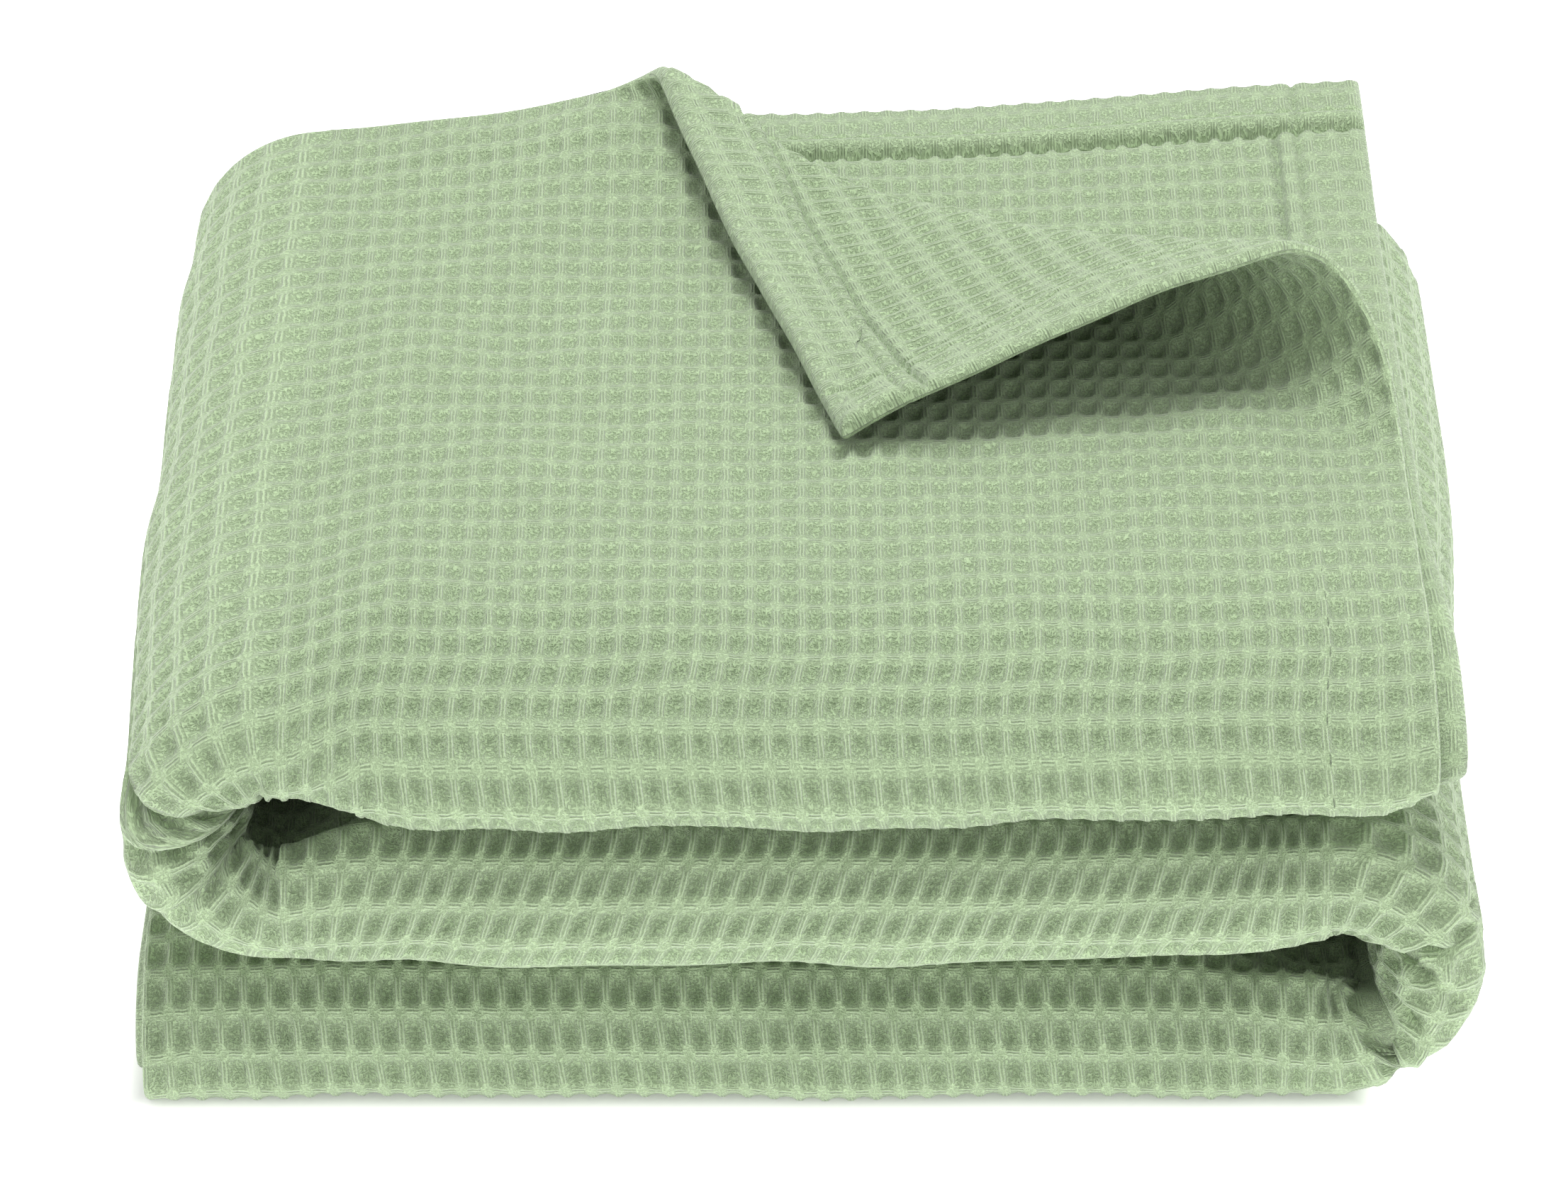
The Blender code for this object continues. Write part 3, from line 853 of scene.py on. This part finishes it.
def cloth_offset(us, vs, side, free):
    """Distance of the cloth's surface from its middle, on one side."""
    to_side = np.minimum(us, ACROSS - us)[:, None] + 0 * vs[None, :]
    to_end = np.minimum(vs, ALONG - vs)[None, :] + 0 * us[:, None]
    at_side = hem_profile(to_side, SIDE_HEM, HEM_THICK["side"], side)
    at_end = hem_profile(to_end, END_HEM, HEM_THICK["end"], side)
    thick, gap, groove, on_roll, pressed = (np.maximum(*pair) for pair in zip(at_side, at_end))
    gap = np.maximum(at_end[1], at_side[1] * (1 - at_end[4]))
    flat = np.maximum(ROLL_FLATTER[side] * on_roll, HEM_FLATTER[side] * pressed)
    drawn = close_enough(us, 1.0)[:, None] & close_enough(vs, ROW)[None, :]
    opened = 1 + FRONT_DEEPER * ramp(vs, FRONT_ROWS[0]) * ramp(vs, FRONT_ROWS[1])
    relief = waffle(us, vs, side) * (1 - flat) * free * opened
    relief = np.where(drawn, relief, COARSE_RELIEF)
    edge = np.minimum(to_side, to_end)
    rounding = np.sqrt(1 - (1 - np.clip(edge / EDGE_ROUND, 0, 1)) ** 2)
    return (PLY / 2 + thick + relief * ramp(edge, (0.0, 0.5)) - groove - gap) * (0.03 + 0.97 * rounding)


near_ridge = np.array([19.9, 20.0, 20.1])
on_ridge = cloth_offset(near_ridge, near_ridge, 1, 1.0)[1, 1]
print("on a ridge the surface lies", round(float(on_ridge), 2), "cells from the middle")

# %% [markdown]
# ## Soft unevenness
# Between the folds the cloth is never flat. A few long, low waves and a table of
# creases, each with its own place, direction, length and depth, move the whole cloth a
# little. Creases are counted in the same u and v, so they fold along with the cloth.

# %% Waves and creases
WAVES = (
    # height, length across, length along, turn
    (0.10, 13.0, 22.0, 0.4),
    (0.07, 7.3, 17.0, 2.1),
    (0.05, 23.0, 9.5, 4.4),
    (0.04, 5.1, 6.3, 1.3),
)
CREASES = (
    # u, v, degrees from the u direction, length, width, depth
    (45.3, 49.4, 60.0, 0.9, 0.30, 0.30),
    (49.2, 46.4, 90.0, 2.2, 0.22, 0.40),
    (50.4, 45.0, 90.0, 1.2, 0.20, 0.35),
    (51.5, 48.0, 60.0, 0.7, 0.24, 0.40),
    (101.1, 46.6, 52.0, 2.4, 0.28, 0.60),
    (103.5, 46.8, 75.0, 1.0, 0.24, 0.45),
)
PRESSED = 0.15


def unevenness(us, vs):
    """How far the cloth's middle is moved along its own facing direction."""
    u, v = us[:, None], vs[None, :]
    moved = 0.0
    for height, across, along, turn in WAVES:
        rise = height * np.sin(2 * math.pi * (u / across) + turn)
        moved = moved + rise * np.cos(2 * math.pi * v / along + turn)
    for at_u, at_v, degrees, length, width, depth in CREASES:
        angle = math.radians(degrees)
        down = (u - at_u) * math.cos(angle) + (v - at_v) * math.sin(angle)
        beside = (v - at_v) * math.cos(angle) - (u - at_u) * math.sin(angle)
        moved = moved - depth * np.exp(-((down / length) ** 2) - (beside / width) ** 2)
    return moved


def free_to_move(us, vs):
    """1 where the cloth lies free, and PRESSED where it lies between other plies."""
    u, v = us[:, None], vs[None, :]
    on_top = ramp(u, (TOP_RUN + WRAP_RUN + 1.0, TOP_RUN + WRAP_RUN - 1.0)) * ramp(v, (52.0, 48.0))
    front = ramp(v, (38.0, 42.0)) * ramp(v, (56.0, 52.0)) + 0 * u
    return PRESSED + (1 - PRESSED) * np.maximum(on_top, front)


print(len(WAVES), "waves and", len(CREASES), "creases")

# %% [markdown]
# ## From a grid to a surface
# A surface is the middle of the cloth, moved out by the thickness and the relief along
# the direction it faces. That direction comes from the grid itself: the cross product of
# its two neighbouring steps. We reckon with one line more than we need on each side, so
# that two pieces of cloth that meet have exactly the same edge and the same shading.

# %% Surfaces
NEAR_TABLE, TABLE_FLATTER = (0.3, 1.7), 0.75  # close to the table the waffle is pressed flatter
LEAST_HEIGHT = 0.01


def facing_of(points, us, vs):
    """The direction that a grid of points faces, as unit vectors."""
    across = np.gradient(points, us, axis=0)
    along = np.gradient(points, vs, axis=1)
    normal = np.cross(across, along)
    return normal / np.maximum(np.linalg.norm(normal, axis=2, keepdims=True), 1e-9)


def one_more(lines, end, step):
    """The lines with one more beyond each end, where the cloth goes on."""
    more = list(lines)
    before, after = lines[0] - 0.1 * step, lines[-1] + 0.1 * step
    first = 1 if before > 0 else 0
    last = 1 if after < end else 0
    more = ([before] if first else []) + more + ([after] if last else [])
    return np.array(more), slice(first, len(more) - last)


def surface(us, vs, side):
    """Points and facing directions of one side of the cloth, for every u and v."""
    more_us, keep_u = one_more(us, ACROSS, 1.0)
    more_vs, keep_v = one_more(vs, ALONG, ROW)
    middle = middle_of_cloth(more_us, more_vs)
    facing = facing_of(middle, more_us, more_vs)
    moved = unevenness(more_us, more_vs) * free_to_move(more_us, more_vs)
    on_table = 1 - ramp(middle[..., 2], NEAR_TABLE)
    offset = cloth_offset(more_us, more_vs, side, 1 - TABLE_FLATTER * on_table)
    points = middle + facing * (moved + side * offset)[..., None]
    points[..., 2] = np.maximum(points[..., 2], LEAST_HEIGHT)  # nothing sinks into the table
    shading = facing_of(points, more_us, more_vs) * side
    return points[keep_u, keep_v] * CELL, shading[keep_u, keep_v]


points, shading = surface(np.linspace(20, 22, 5), np.linspace(20, 22, 5), 1)
print("a surface of", points.shape[0], "by", points.shape[1], "points faces", shading[2, 2].round(2))

# %% [markdown]
# ## From two surfaces to a slab of cloth
# A slab has a right side, a wrong side and narrow walls between them. Where a side is
# seen up close its grid gets several lines in every cell, placed on the ridge, the slope
# and the bottom of the hollow. A side that is hidden gets one line every few cells. The
# two sides share some lines, and the walls are built between those.

# %% Lines of the grid
FINE = (0.0, 0.1, 0.25, 0.5, 0.75, 0.9)
FINE_WRONG = (0.0, 0.25, 0.4, 0.5, 0.6, 0.75)  # on the wrong side the hollows are half a cell on
MEDIUM = (0.0, 0.25, 0.5, 0.75)
HALVES = (0.0, 0.5)
NEAR_HEM = 0.05  # a line nearer than this to one of the hem's lines is dropped


def lines(start, end, step, shares):
    """Lines from start to end: these shares of every cell, with the two ends kept."""
    found = [start, end]
    for cell in range(int(start / step) - 1, int(end / step) + 2):
        found += [(cell + share) * step for share in shares]
    found = np.unique(np.round([f for f in found if start <= f <= end], 4))
    too_near = np.diff(found) < 0.06 * step
    keep = np.ones(len(found), bool)
    keep[1:-1] = ~too_near[:-1]
    if too_near[-1]:
        keep[-2] = False
    return found[keep]


def hem_lines(end, hem):
    """The close lines at a free edge and at a hem's inner edge, at both ends of the cloth."""
    from_edge = [0.0] + list(EDGE_LINES) + [hem + away for away in HEM_LINES]
    return from_edge + [end - away for away in from_edge]


def with_hem(found, end, hem):
    """Adds the close lines of the hems, and drops the lines that lie too near to them."""
    extra = np.array([e for e in hem_lines(end, hem) if found[0] <= e <= found[-1]])
    if not len(extra):
        return found
    keep = [f for f in found[1:-1] if np.abs(extra - f).min() > NEAR_HEM]
    return np.unique(np.round(np.concatenate([keep, extra, [found[0], found[-1]]]), 4))


def banded(bands, step):
    """Lines for a row of bands, each (start, end, shares or number of cells to a line)."""
    found = []
    for start, end, shares in bands:
        if isinstance(shares, tuple):
            found += list(lines(start, end, step, shares))
        else:
            found += [start, end] + [c * step for c in range(0, 400, shares) if start <= c * step <= end]
    found = np.unique(np.round(found, 4))
    keep = np.append(np.diff(found) > 0.05, True)
    return found[keep]


print("lines in one fine cell:", len(FINE), "and in a medium one", len(MEDIUM))

# %% [markdown]
# A side's faces follow from its grid. A wall needs more care: it has one face between
# each pair of shared lines, which takes in all the points that lie between them.


# %% The faces of a slab
def grid_faces(count_u, count_v, first, side):
    """Four-sided faces between the points of a grid, facing out."""
    index = first + np.arange(count_u * count_v).reshape(count_u, count_v)
    a, b = index[:-1, :-1].ravel(), index[1:, :-1].ravel()
    c, d = index[1:, 1:].ravel(), index[:-1, 1:].ravel()
    rows = np.stack([a, b, c, d] if side > 0 else [d, c, b, a], axis=1)
    return rows.tolist(), index


def wall_faces(right_line, right_index, wrong_line, wrong_index, forward):
    """The wall along one edge, a face between each pair of lines that both sides share."""
    shared = sorted(set(np.round(right_line, 4)) & set(np.round(wrong_line, 4)))
    right_line, wrong_line = np.round(right_line, 4), np.round(wrong_line, 4)
    faces = []
    for start, end in zip(shared, shared[1:]):
        upper = right_index[(right_line >= start) & (right_line <= end)].tolist()
        lower = wrong_index[(wrong_line >= start) & (wrong_line <= end)].tolist()
        around = upper + lower[::-1]
        faces.append(around if forward else around[::-1])
    return faces


print("a grid of 3 by 4 points has", len(grid_faces(3, 4, 0, 1)[0]), "faces")


# %% A slab
def slab(right_us, right_vs, wrong_us, wrong_vs):
    """One slab of cloth: its points, faces, shading and weave coordinates."""
    right, right_shade = surface(right_us, right_vs, 1)
    wrong, wrong_shade = surface(wrong_us, wrong_vs, -1)
    faces, upper = grid_faces(len(right_us), len(right_vs), 0, 1)
    more, lower = grid_faces(len(wrong_us), len(wrong_vs), right_us.size * right_vs.size, -1)
    faces += more
    faces += wall_faces(right_us, upper[:, 0], wrong_us, lower[:, 0], False)
    faces += wall_faces(right_us, upper[:, -1], wrong_us, lower[:, -1], True)
    faces += wall_faces(right_vs, upper[0], wrong_vs, lower[0], True)
    faces += wall_faces(right_vs, upper[-1], wrong_vs, lower[-1], False)
    points = np.concatenate([right.reshape(-1, 3), wrong.reshape(-1, 3)])
    shading = np.concatenate([right_shade.reshape(-1, 3), wrong_shade.reshape(-1, 3)])
    weave = [
        np.stack(np.meshgrid(right_us, right_vs / ROW, indexing="ij"), -1).reshape(-1, 2),
        np.stack(np.meshgrid(wrong_us + 0.5, wrong_vs / ROW + 0.5, indexing="ij"), -1).reshape(-1, 2),
    ]
    return points, faces, shading, np.concatenate(weave)


one_cell = slab(*[np.array([20.0, 20.5, 21.0])] * 4)
print("a small slab has", len(one_cell[0]), "points and", len(one_cell[1]), "faces")

# %% [markdown]
# A piece of the blanket is one object made of slabs. It takes the place of the plain
# solid, rides with it, and has the cotton's slot.


# %% A piece of cloth
def cloth_piece(name, slabs, material):
    """A mesh object from slabs of cloth, with its own shading and a map of the weave."""
    points, faces, shading, weave, first = [], [], [], [], 0
    for made in slabs:
        points.append(made[0])
        faces += [[first + corner for corner in face] for face in made[1]]
        shading.append(made[2])
        weave.append(made[3])
        first += len(made[0])
    mesh = bpy.data.meshes.new(name)
    mesh.from_pydata(np.concatenate(points).tolist(), [], faces)
    mesh.shade_smooth()
    corners = np.empty(len(mesh.loops), np.int32)
    mesh.loops.foreach_get("vertex_index", corners)
    layer = mesh.uv_layers.new(name="weave")
    layer.data.foreach_set("uv", np.concatenate(weave)[corners].ravel())
    mesh.normals_split_custom_set_from_vertices(np.concatenate(shading).tolist())
    mesh.materials.append(material)
    piece = bpy.data.objects.new(name, mesh)
    bpy.context.scene.collection.objects.link(piece)
    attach(piece, "root")
    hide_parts("blanket")
    mesh.calc_loop_triangles()
    print(name, "has", len(mesh.loop_triangles), "triangles")
    return piece


# %% [markdown]
# ## The cotton
# Sage green cotton is dull and a little fuzzy. The colour changes from yarn to yarn, and
# the yarns themselves are too fine for geometry: about twelve in a cell. We draw them in
# the material, from the weave's own coordinates, so that they follow every fold.

# %% Helpers for the cotton
cotton = bpy.data.materials.new("sage cotton")
cotton.use_nodes = True
nodes, links = cotton.node_tree.nodes, cotton.node_tree.links
shader = nodes["Principled BSDF"]


def calc(operation, *values):
    return add_sum(cotton.node_tree, operation, *values)


def fade(place, start, end, low=1.0, high=0.0):
    return add_fade(cotton.node_tree, place, start, end, low, high)


def noise(where, scale, detail=2.0):
    node = nodes.new("ShaderNodeTexNoise")
    links.new(where, node.inputs["Vector"])
    node.inputs["Scale"].default_value = scale
    node.inputs["Detail"].default_value = detail
    return node.outputs["Fac"]


def wander(where, scale, reach):
    """Soft noise, as far to one side as to the other."""
    return calc("MULTIPLY", calc("SUBTRACT", noise(where, scale), 0.5), reach)


def vector(x, y):
    node = nodes.new("ShaderNodeCombineXYZ")
    for socket, value in zip(node.inputs, (x, y)):
        feed(cotton.node_tree, socket, value)
    return node.outputs[0]


print("helpers for the cotton are ready")

# %% [markdown]
# A place in the weave is two numbers: how far it is from the middle of its cell, across
# and along. The ridges lie at 0.5. Floats run down both sides of each ridge, across and
# along, with a gap between them that the colour below paints dark as shade. Two square
# rings of thinner floats step down into the hollow, and everything else is plain weave,
# drawn as short dashes of noise, with painted shade that makes it darker deep in the hollow.

# %% The yarns of one cell
weave_map = nodes.new("ShaderNodeUVMap")
weave_map.uv_map = "weave"
parts = nodes.new("ShaderNodeSeparateXYZ")
links.new(weave_map.outputs["UV"], parts.inputs[0])
u_place, v_place = parts.outputs[0], parts.outputs[1]
along_u = calc("ADD", u_place, wander(weave_map.outputs["UV"], 1.7, 0.10))
along_v = calc("ADD", v_place, wander(vector(v_place, u_place), 1.9, 0.08))
s = calc("ABSOLUTE", calc("SUBTRACT", calc("FRACT", along_u), 0.5))
t = calc("ABSOLUTE", calc("SUBTRACT", calc("FRACT", along_v), 0.5))
print("the yarns wander a little, as noise with", len(nodes), "nodes so far")

# %% [markdown]
# Each float and each gap is one line across the cell, with a centre, half a width, a
# reach along the cell and a height. The highest float wins.


# %% Floats, gaps and plain weave
def floats(place, centre, half, other, reach, height):
    """A yarn that lies at a distance from the cell's middle, as long as its reach."""
    off = calc("DIVIDE", calc("SUBTRACT", place, centre), half)
    round_yarn = calc("MAXIMUM", calc("SUBTRACT", 1.0, calc("MULTIPLY", off, off)), 0.0)
    return calc("MULTIPLY", calc("MULTIPLY", round_yarn, fade(other, reach - 0.04, reach + 0.04)), height)


def dashes(across, along):
    """Short dashes of yarn, as many as this across and along a cell."""
    return noise(vector(calc("MULTIPLY", along_u, across), calc("MULTIPLY", along_v, along)), 1.0, 1.0)


square = calc("POWER", calc("ADD", calc("POWER", s, 3.0), calc("POWER", t, 3.0)), 1 / 3)
# Painted shade: deep in the hollow the plain weave gets a darker colour.
deep = calc("MULTIPLY", fade(s, 0.28, 0.43), fade(t, 0.30, 0.44))
plain = fade(calc("MAXIMUM", dashes(15.0, 9.0), dashes(7.0, 22.0)), 0.48, 0.61, 0.0, 1.0)
plain = calc("MULTIPLY", plain, calc("MULTIPLY_ADD", deep, 0.12, 0.32))
plain = calc("ADD", plain, calc("MULTIPLY_ADD", deep, -0.15, 0.46))
yarns = [
    floats(s, 0.430, 0.044, t, 0.28, 0.92),
    floats(t, 0.460, 0.026, s, 0.26, 0.90),
    floats(square, 0.345, 0.026, s, 0.29, 0.62),
    floats(square, 0.275, 0.024, s, 0.22, 0.55),
]
gaps = [
    floats(s, 0.500, 0.030, t, 0.28, 0.62),
    floats(s, 0.372, 0.022, t, 0.28, 0.50),
    floats(t, 0.500, 0.018, s, 0.24, 0.80),
    floats(t, 0.420, 0.016, s, 0.25, 0.45),
]
height = plain
for gap in gaps:
    height = calc("MULTIPLY", height, calc("SUBTRACT", 1.0, gap))
for yarn in yarns:
    height = calc("MAXIMUM", height, yarn)
print(len(yarns), "kinds of float in a cell")

# %% [markdown]
# Between the floats the colour is painted darker, as painted shade where light gets lost
# among the yarns, so the floats come out pale. We also vary the colour a little from yarn
# to yarn and from place to place.

# %% The colour, its painted shade and the fine relief
fuzz = noise(vector(calc("MULTIPLY", along_u, 16.0), calc("MULTIPLY", along_v, 24.0)), 1.0, 3.0)
patches = noise(weave_map.outputs["UV"], 0.35)
# Painted shade: places that lie low among the yarns get a darker colour, so the floats come out pale.
shade_and_tone = calc("MULTIPLY_ADD", height, 0.68, 0.50)
shade_and_tone = calc("MULTIPLY", shade_and_tone, calc("MULTIPLY_ADD", fuzz, 0.56, 0.72))
shade_and_tone = calc("MULTIPLY", shade_and_tone, calc("MULTIPLY_ADD", patches, 0.10, 0.95))
BASE = (0.392, 0.508, 0.305)
tinted = nodes.new("ShaderNodeCombineColor")
for channel, value in enumerate(BASE):
    links.new(calc("MULTIPLY", shade_and_tone, value), tinted.inputs[channel])
links.new(tinted.outputs[0], shader.inputs["Base Color"])
bump = nodes.new("ShaderNodeBump")
bump.inputs["Distance"].default_value = 0.10 * CELL
links.new(calc("MULTIPLY_ADD", fuzz, 0.5, height), bump.inputs["Height"])
links.new(bump.outputs["Normal"], shader.inputs["Normal"])
shader.inputs["Roughness"].default_value = 0.92
shader.inputs["Sheen Weight"].default_value = 0.40
shader.inputs["Sheen Roughness"].default_value = 0.32
print("the cotton has", len(nodes), "nodes")

# %% [markdown]
# ## The blanket's pieces
# The cloth is cut into a few slabs that meet exactly, so that each can have the detail
# its place needs. The seams between them can't be seen, because both sides share the
# same points and the same shading. First the lines that we use again and again.


# %% The lines of a slab
def across_lines(start, end, shares):
    """Lines across the cloth. On the wraps there is one in every cell at least, to keep them round."""
    found = banded([(start, end, shares)], 1.0)
    if not isinstance(shares, tuple):
        for wrap in ("left wrap", "right wrap"):
            first = start_of(COURSES, wrap)
            round_lines = np.arange(math.floor(first), first + WRAP_RUN + 1.0)
            found = np.union1d(found, round_lines[(round_lines > start + 0.3) & (round_lines < end - 0.3)])
    return with_hem(found, ACROSS, SIDE_HEM)


def along_lines(start, end, shares):
    return with_hem(banded([(start, end, shares)], ROW), ALONG, END_HEM)


def declare(spans):
    """Turns a piece's spans of u and v into metres; nothing is done with them after that."""
    spans = np.array(spans) * CELL


FLAP_END = (32.0, 16 * ROW)  # the turned-back corner with some cloth around it
FRONT_END = (56.0, 35 * ROW)
BAND_START = 22 * ROW
TURN_END = start_of(STRETCHES, "tucked upper")
WRAP_PART = (95.0, 108.0)
INNER_START = start_of(STRETCHES, "inner turn")
SEEN_START = 165 * ROW
print("the seen part of the inner ply is", round(ALONG - SEEN_START, 1), "cells long")

# %% [markdown]
# The turned-back corner comes first. Both of its sides are seen, so both are fine.

# %% The corner
corner = cloth_piece(
    "corner",
    [
        slab(
            across_lines(0.0, FLAP_END[0], FINE),
            along_lines(0.0, FLAP_END[1], FINE),
            across_lines(0.0, FLAP_END[0], FINE_WRONG),
            along_lines(0.0, FLAP_END[1], FINE_WRONG),
        )
    ],
    cotton,
)

# %% [markdown]
# The rest of the top is seen from outside only. Its other side needs close lines just at
# the open edge on the right, where the hem's rim shows.

# %% The top
top = cloth_piece(
    "top",
    [
        slab(
            across_lines(0.0, FLAP_END[0], FINE),
            along_lines(FLAP_END[1], FRONT_END[1], FINE),
            across_lines(0.0, FLAP_END[0], 4),
            along_lines(FLAP_END[1], FRONT_END[1], MEDIUM),
        ),
        slab(
            across_lines(FLAP_END[0], FRONT_END[0], FINE),
            along_lines(0.0, FRONT_END[1], FINE),
            across_lines(FLAP_END[0], FRONT_END[0], 4),
            along_lines(0.0, FRONT_END[1], 2),
        ),
    ],
    cotton,
)

# %% [markdown]
# The fronts of the other two layers are fine as well, and so is the outside of the
# right wrap, which the photo shows along its whole depth.

# %% The front bands
bands = cloth_piece(
    "front_bands",
    [
        slab(
            across_lines(FRONT_END[0], ACROSS, FINE),
            along_lines(BAND_START, FRONT_END[1], FINE),
            across_lines(FRONT_END[0], ACROSS, 2),
            along_lines(BAND_START, FRONT_END[1], MEDIUM),
        ),
        slab(
            across_lines(*WRAP_PART, FINE),
            along_lines(FRONT_END[1], TURN_END, FINE),
            across_lines(*WRAP_PART, 2),
            along_lines(FRONT_END[1], TURN_END, 2),
        ),
    ],
    cotton,
)

# %% [markdown]
# The photo doesn't show the back and the underside of the outer ply. They get every
# fourth of a cell, which still draws the waffle.

# %% The back and the underside
back_slabs = [
    slab(
        across_lines(FRONT_END[0], ACROSS, MEDIUM),
        along_lines(0.0, BAND_START, MEDIUM),
        across_lines(FRONT_END[0], ACROSS, 2),
        along_lines(0.0, BAND_START, 2),
    )
]
for start, end in ((0.0, FRONT_END[0]), (FRONT_END[0], WRAP_PART[0]), (WRAP_PART[1], ACROSS)):
    back_slabs.append(
        slab(
            across_lines(start, end, HALVES),
            along_lines(FRONT_END[1], TURN_END, MEDIUM),
            across_lines(start, end, 2),
            along_lines(FRONT_END[1], TURN_END, 2),
        )
    )
back = cloth_piece("back_and_underside", back_slabs, cotton)

# %% [markdown]
# The inner ply is seen from its wrong side, behind the turned-back corner. Only its edge
# peeps out on the right. The tucked plies stay plain inside the stack.

# %% The inner plies
inner = cloth_piece(
    "inner_ply",
    [
        slab(
            across_lines(0.0, 34.0, 2),
            along_lines(SEEN_START, ALONG, MEDIUM),
            across_lines(0.0, 34.0, FINE_WRONG),
            along_lines(SEEN_START, ALONG, FINE_WRONG),
        ),
        slab(
            across_lines(34.0, ACROSS, 2),
            along_lines(SEEN_START, ALONG, 2),
            across_lines(34.0, ACROSS, 2),
            along_lines(SEEN_START, ALONG, 2),
        ),
        slab(
            with_hem(banded([(0.0, 4.0, MEDIUM), (4.0, ACROSS, 2)], 1.0), ACROSS, SIDE_HEM),
            along_lines(INNER_START, SEEN_START, MEDIUM),
            with_hem(banded([(0.0, 4.0, MEDIUM), (4.0, ACROSS, 2)], 1.0), ACROSS, SIDE_HEM),
            along_lines(INNER_START, SEEN_START, MEDIUM),
        ),
    ],
    cotton,
)
tucked = cloth_piece(
    "tucked_plies",
    [
        slab(
            across_lines(0.0, ACROSS, 1),
            along_lines(TURN_END, INNER_START, 1),
            across_lines(0.0, ACROSS, 1),
            along_lines(TURN_END, INNER_START, 1),
        )
    ],
    cotton,
)

# %% [markdown]
# ## The flat sizes
# For each piece of cloth we work out the flat size it was cut to, and leave it unused.

flap_u, flap_v = FLAP_END
front_u, front_v = FRONT_END
declare([(0, flap_u, 0, flap_v)])
declare([(0, flap_u, flap_v, front_v), (flap_u, front_u, 0, front_v)])
declare([(front_u, ACROSS, BAND_START, front_v), (*WRAP_PART, front_v, TURN_END)])
declare(
    [
        (front_u, ACROSS, 0, BAND_START),
        (0, WRAP_PART[0], front_v, TURN_END),
        (WRAP_PART[1], ACROSS, front_v, TURN_END),
    ],
)
declare([(0, ACROSS, INNER_START, ALONG)])
declare([(0, ACROSS, TURN_END, INNER_START)])
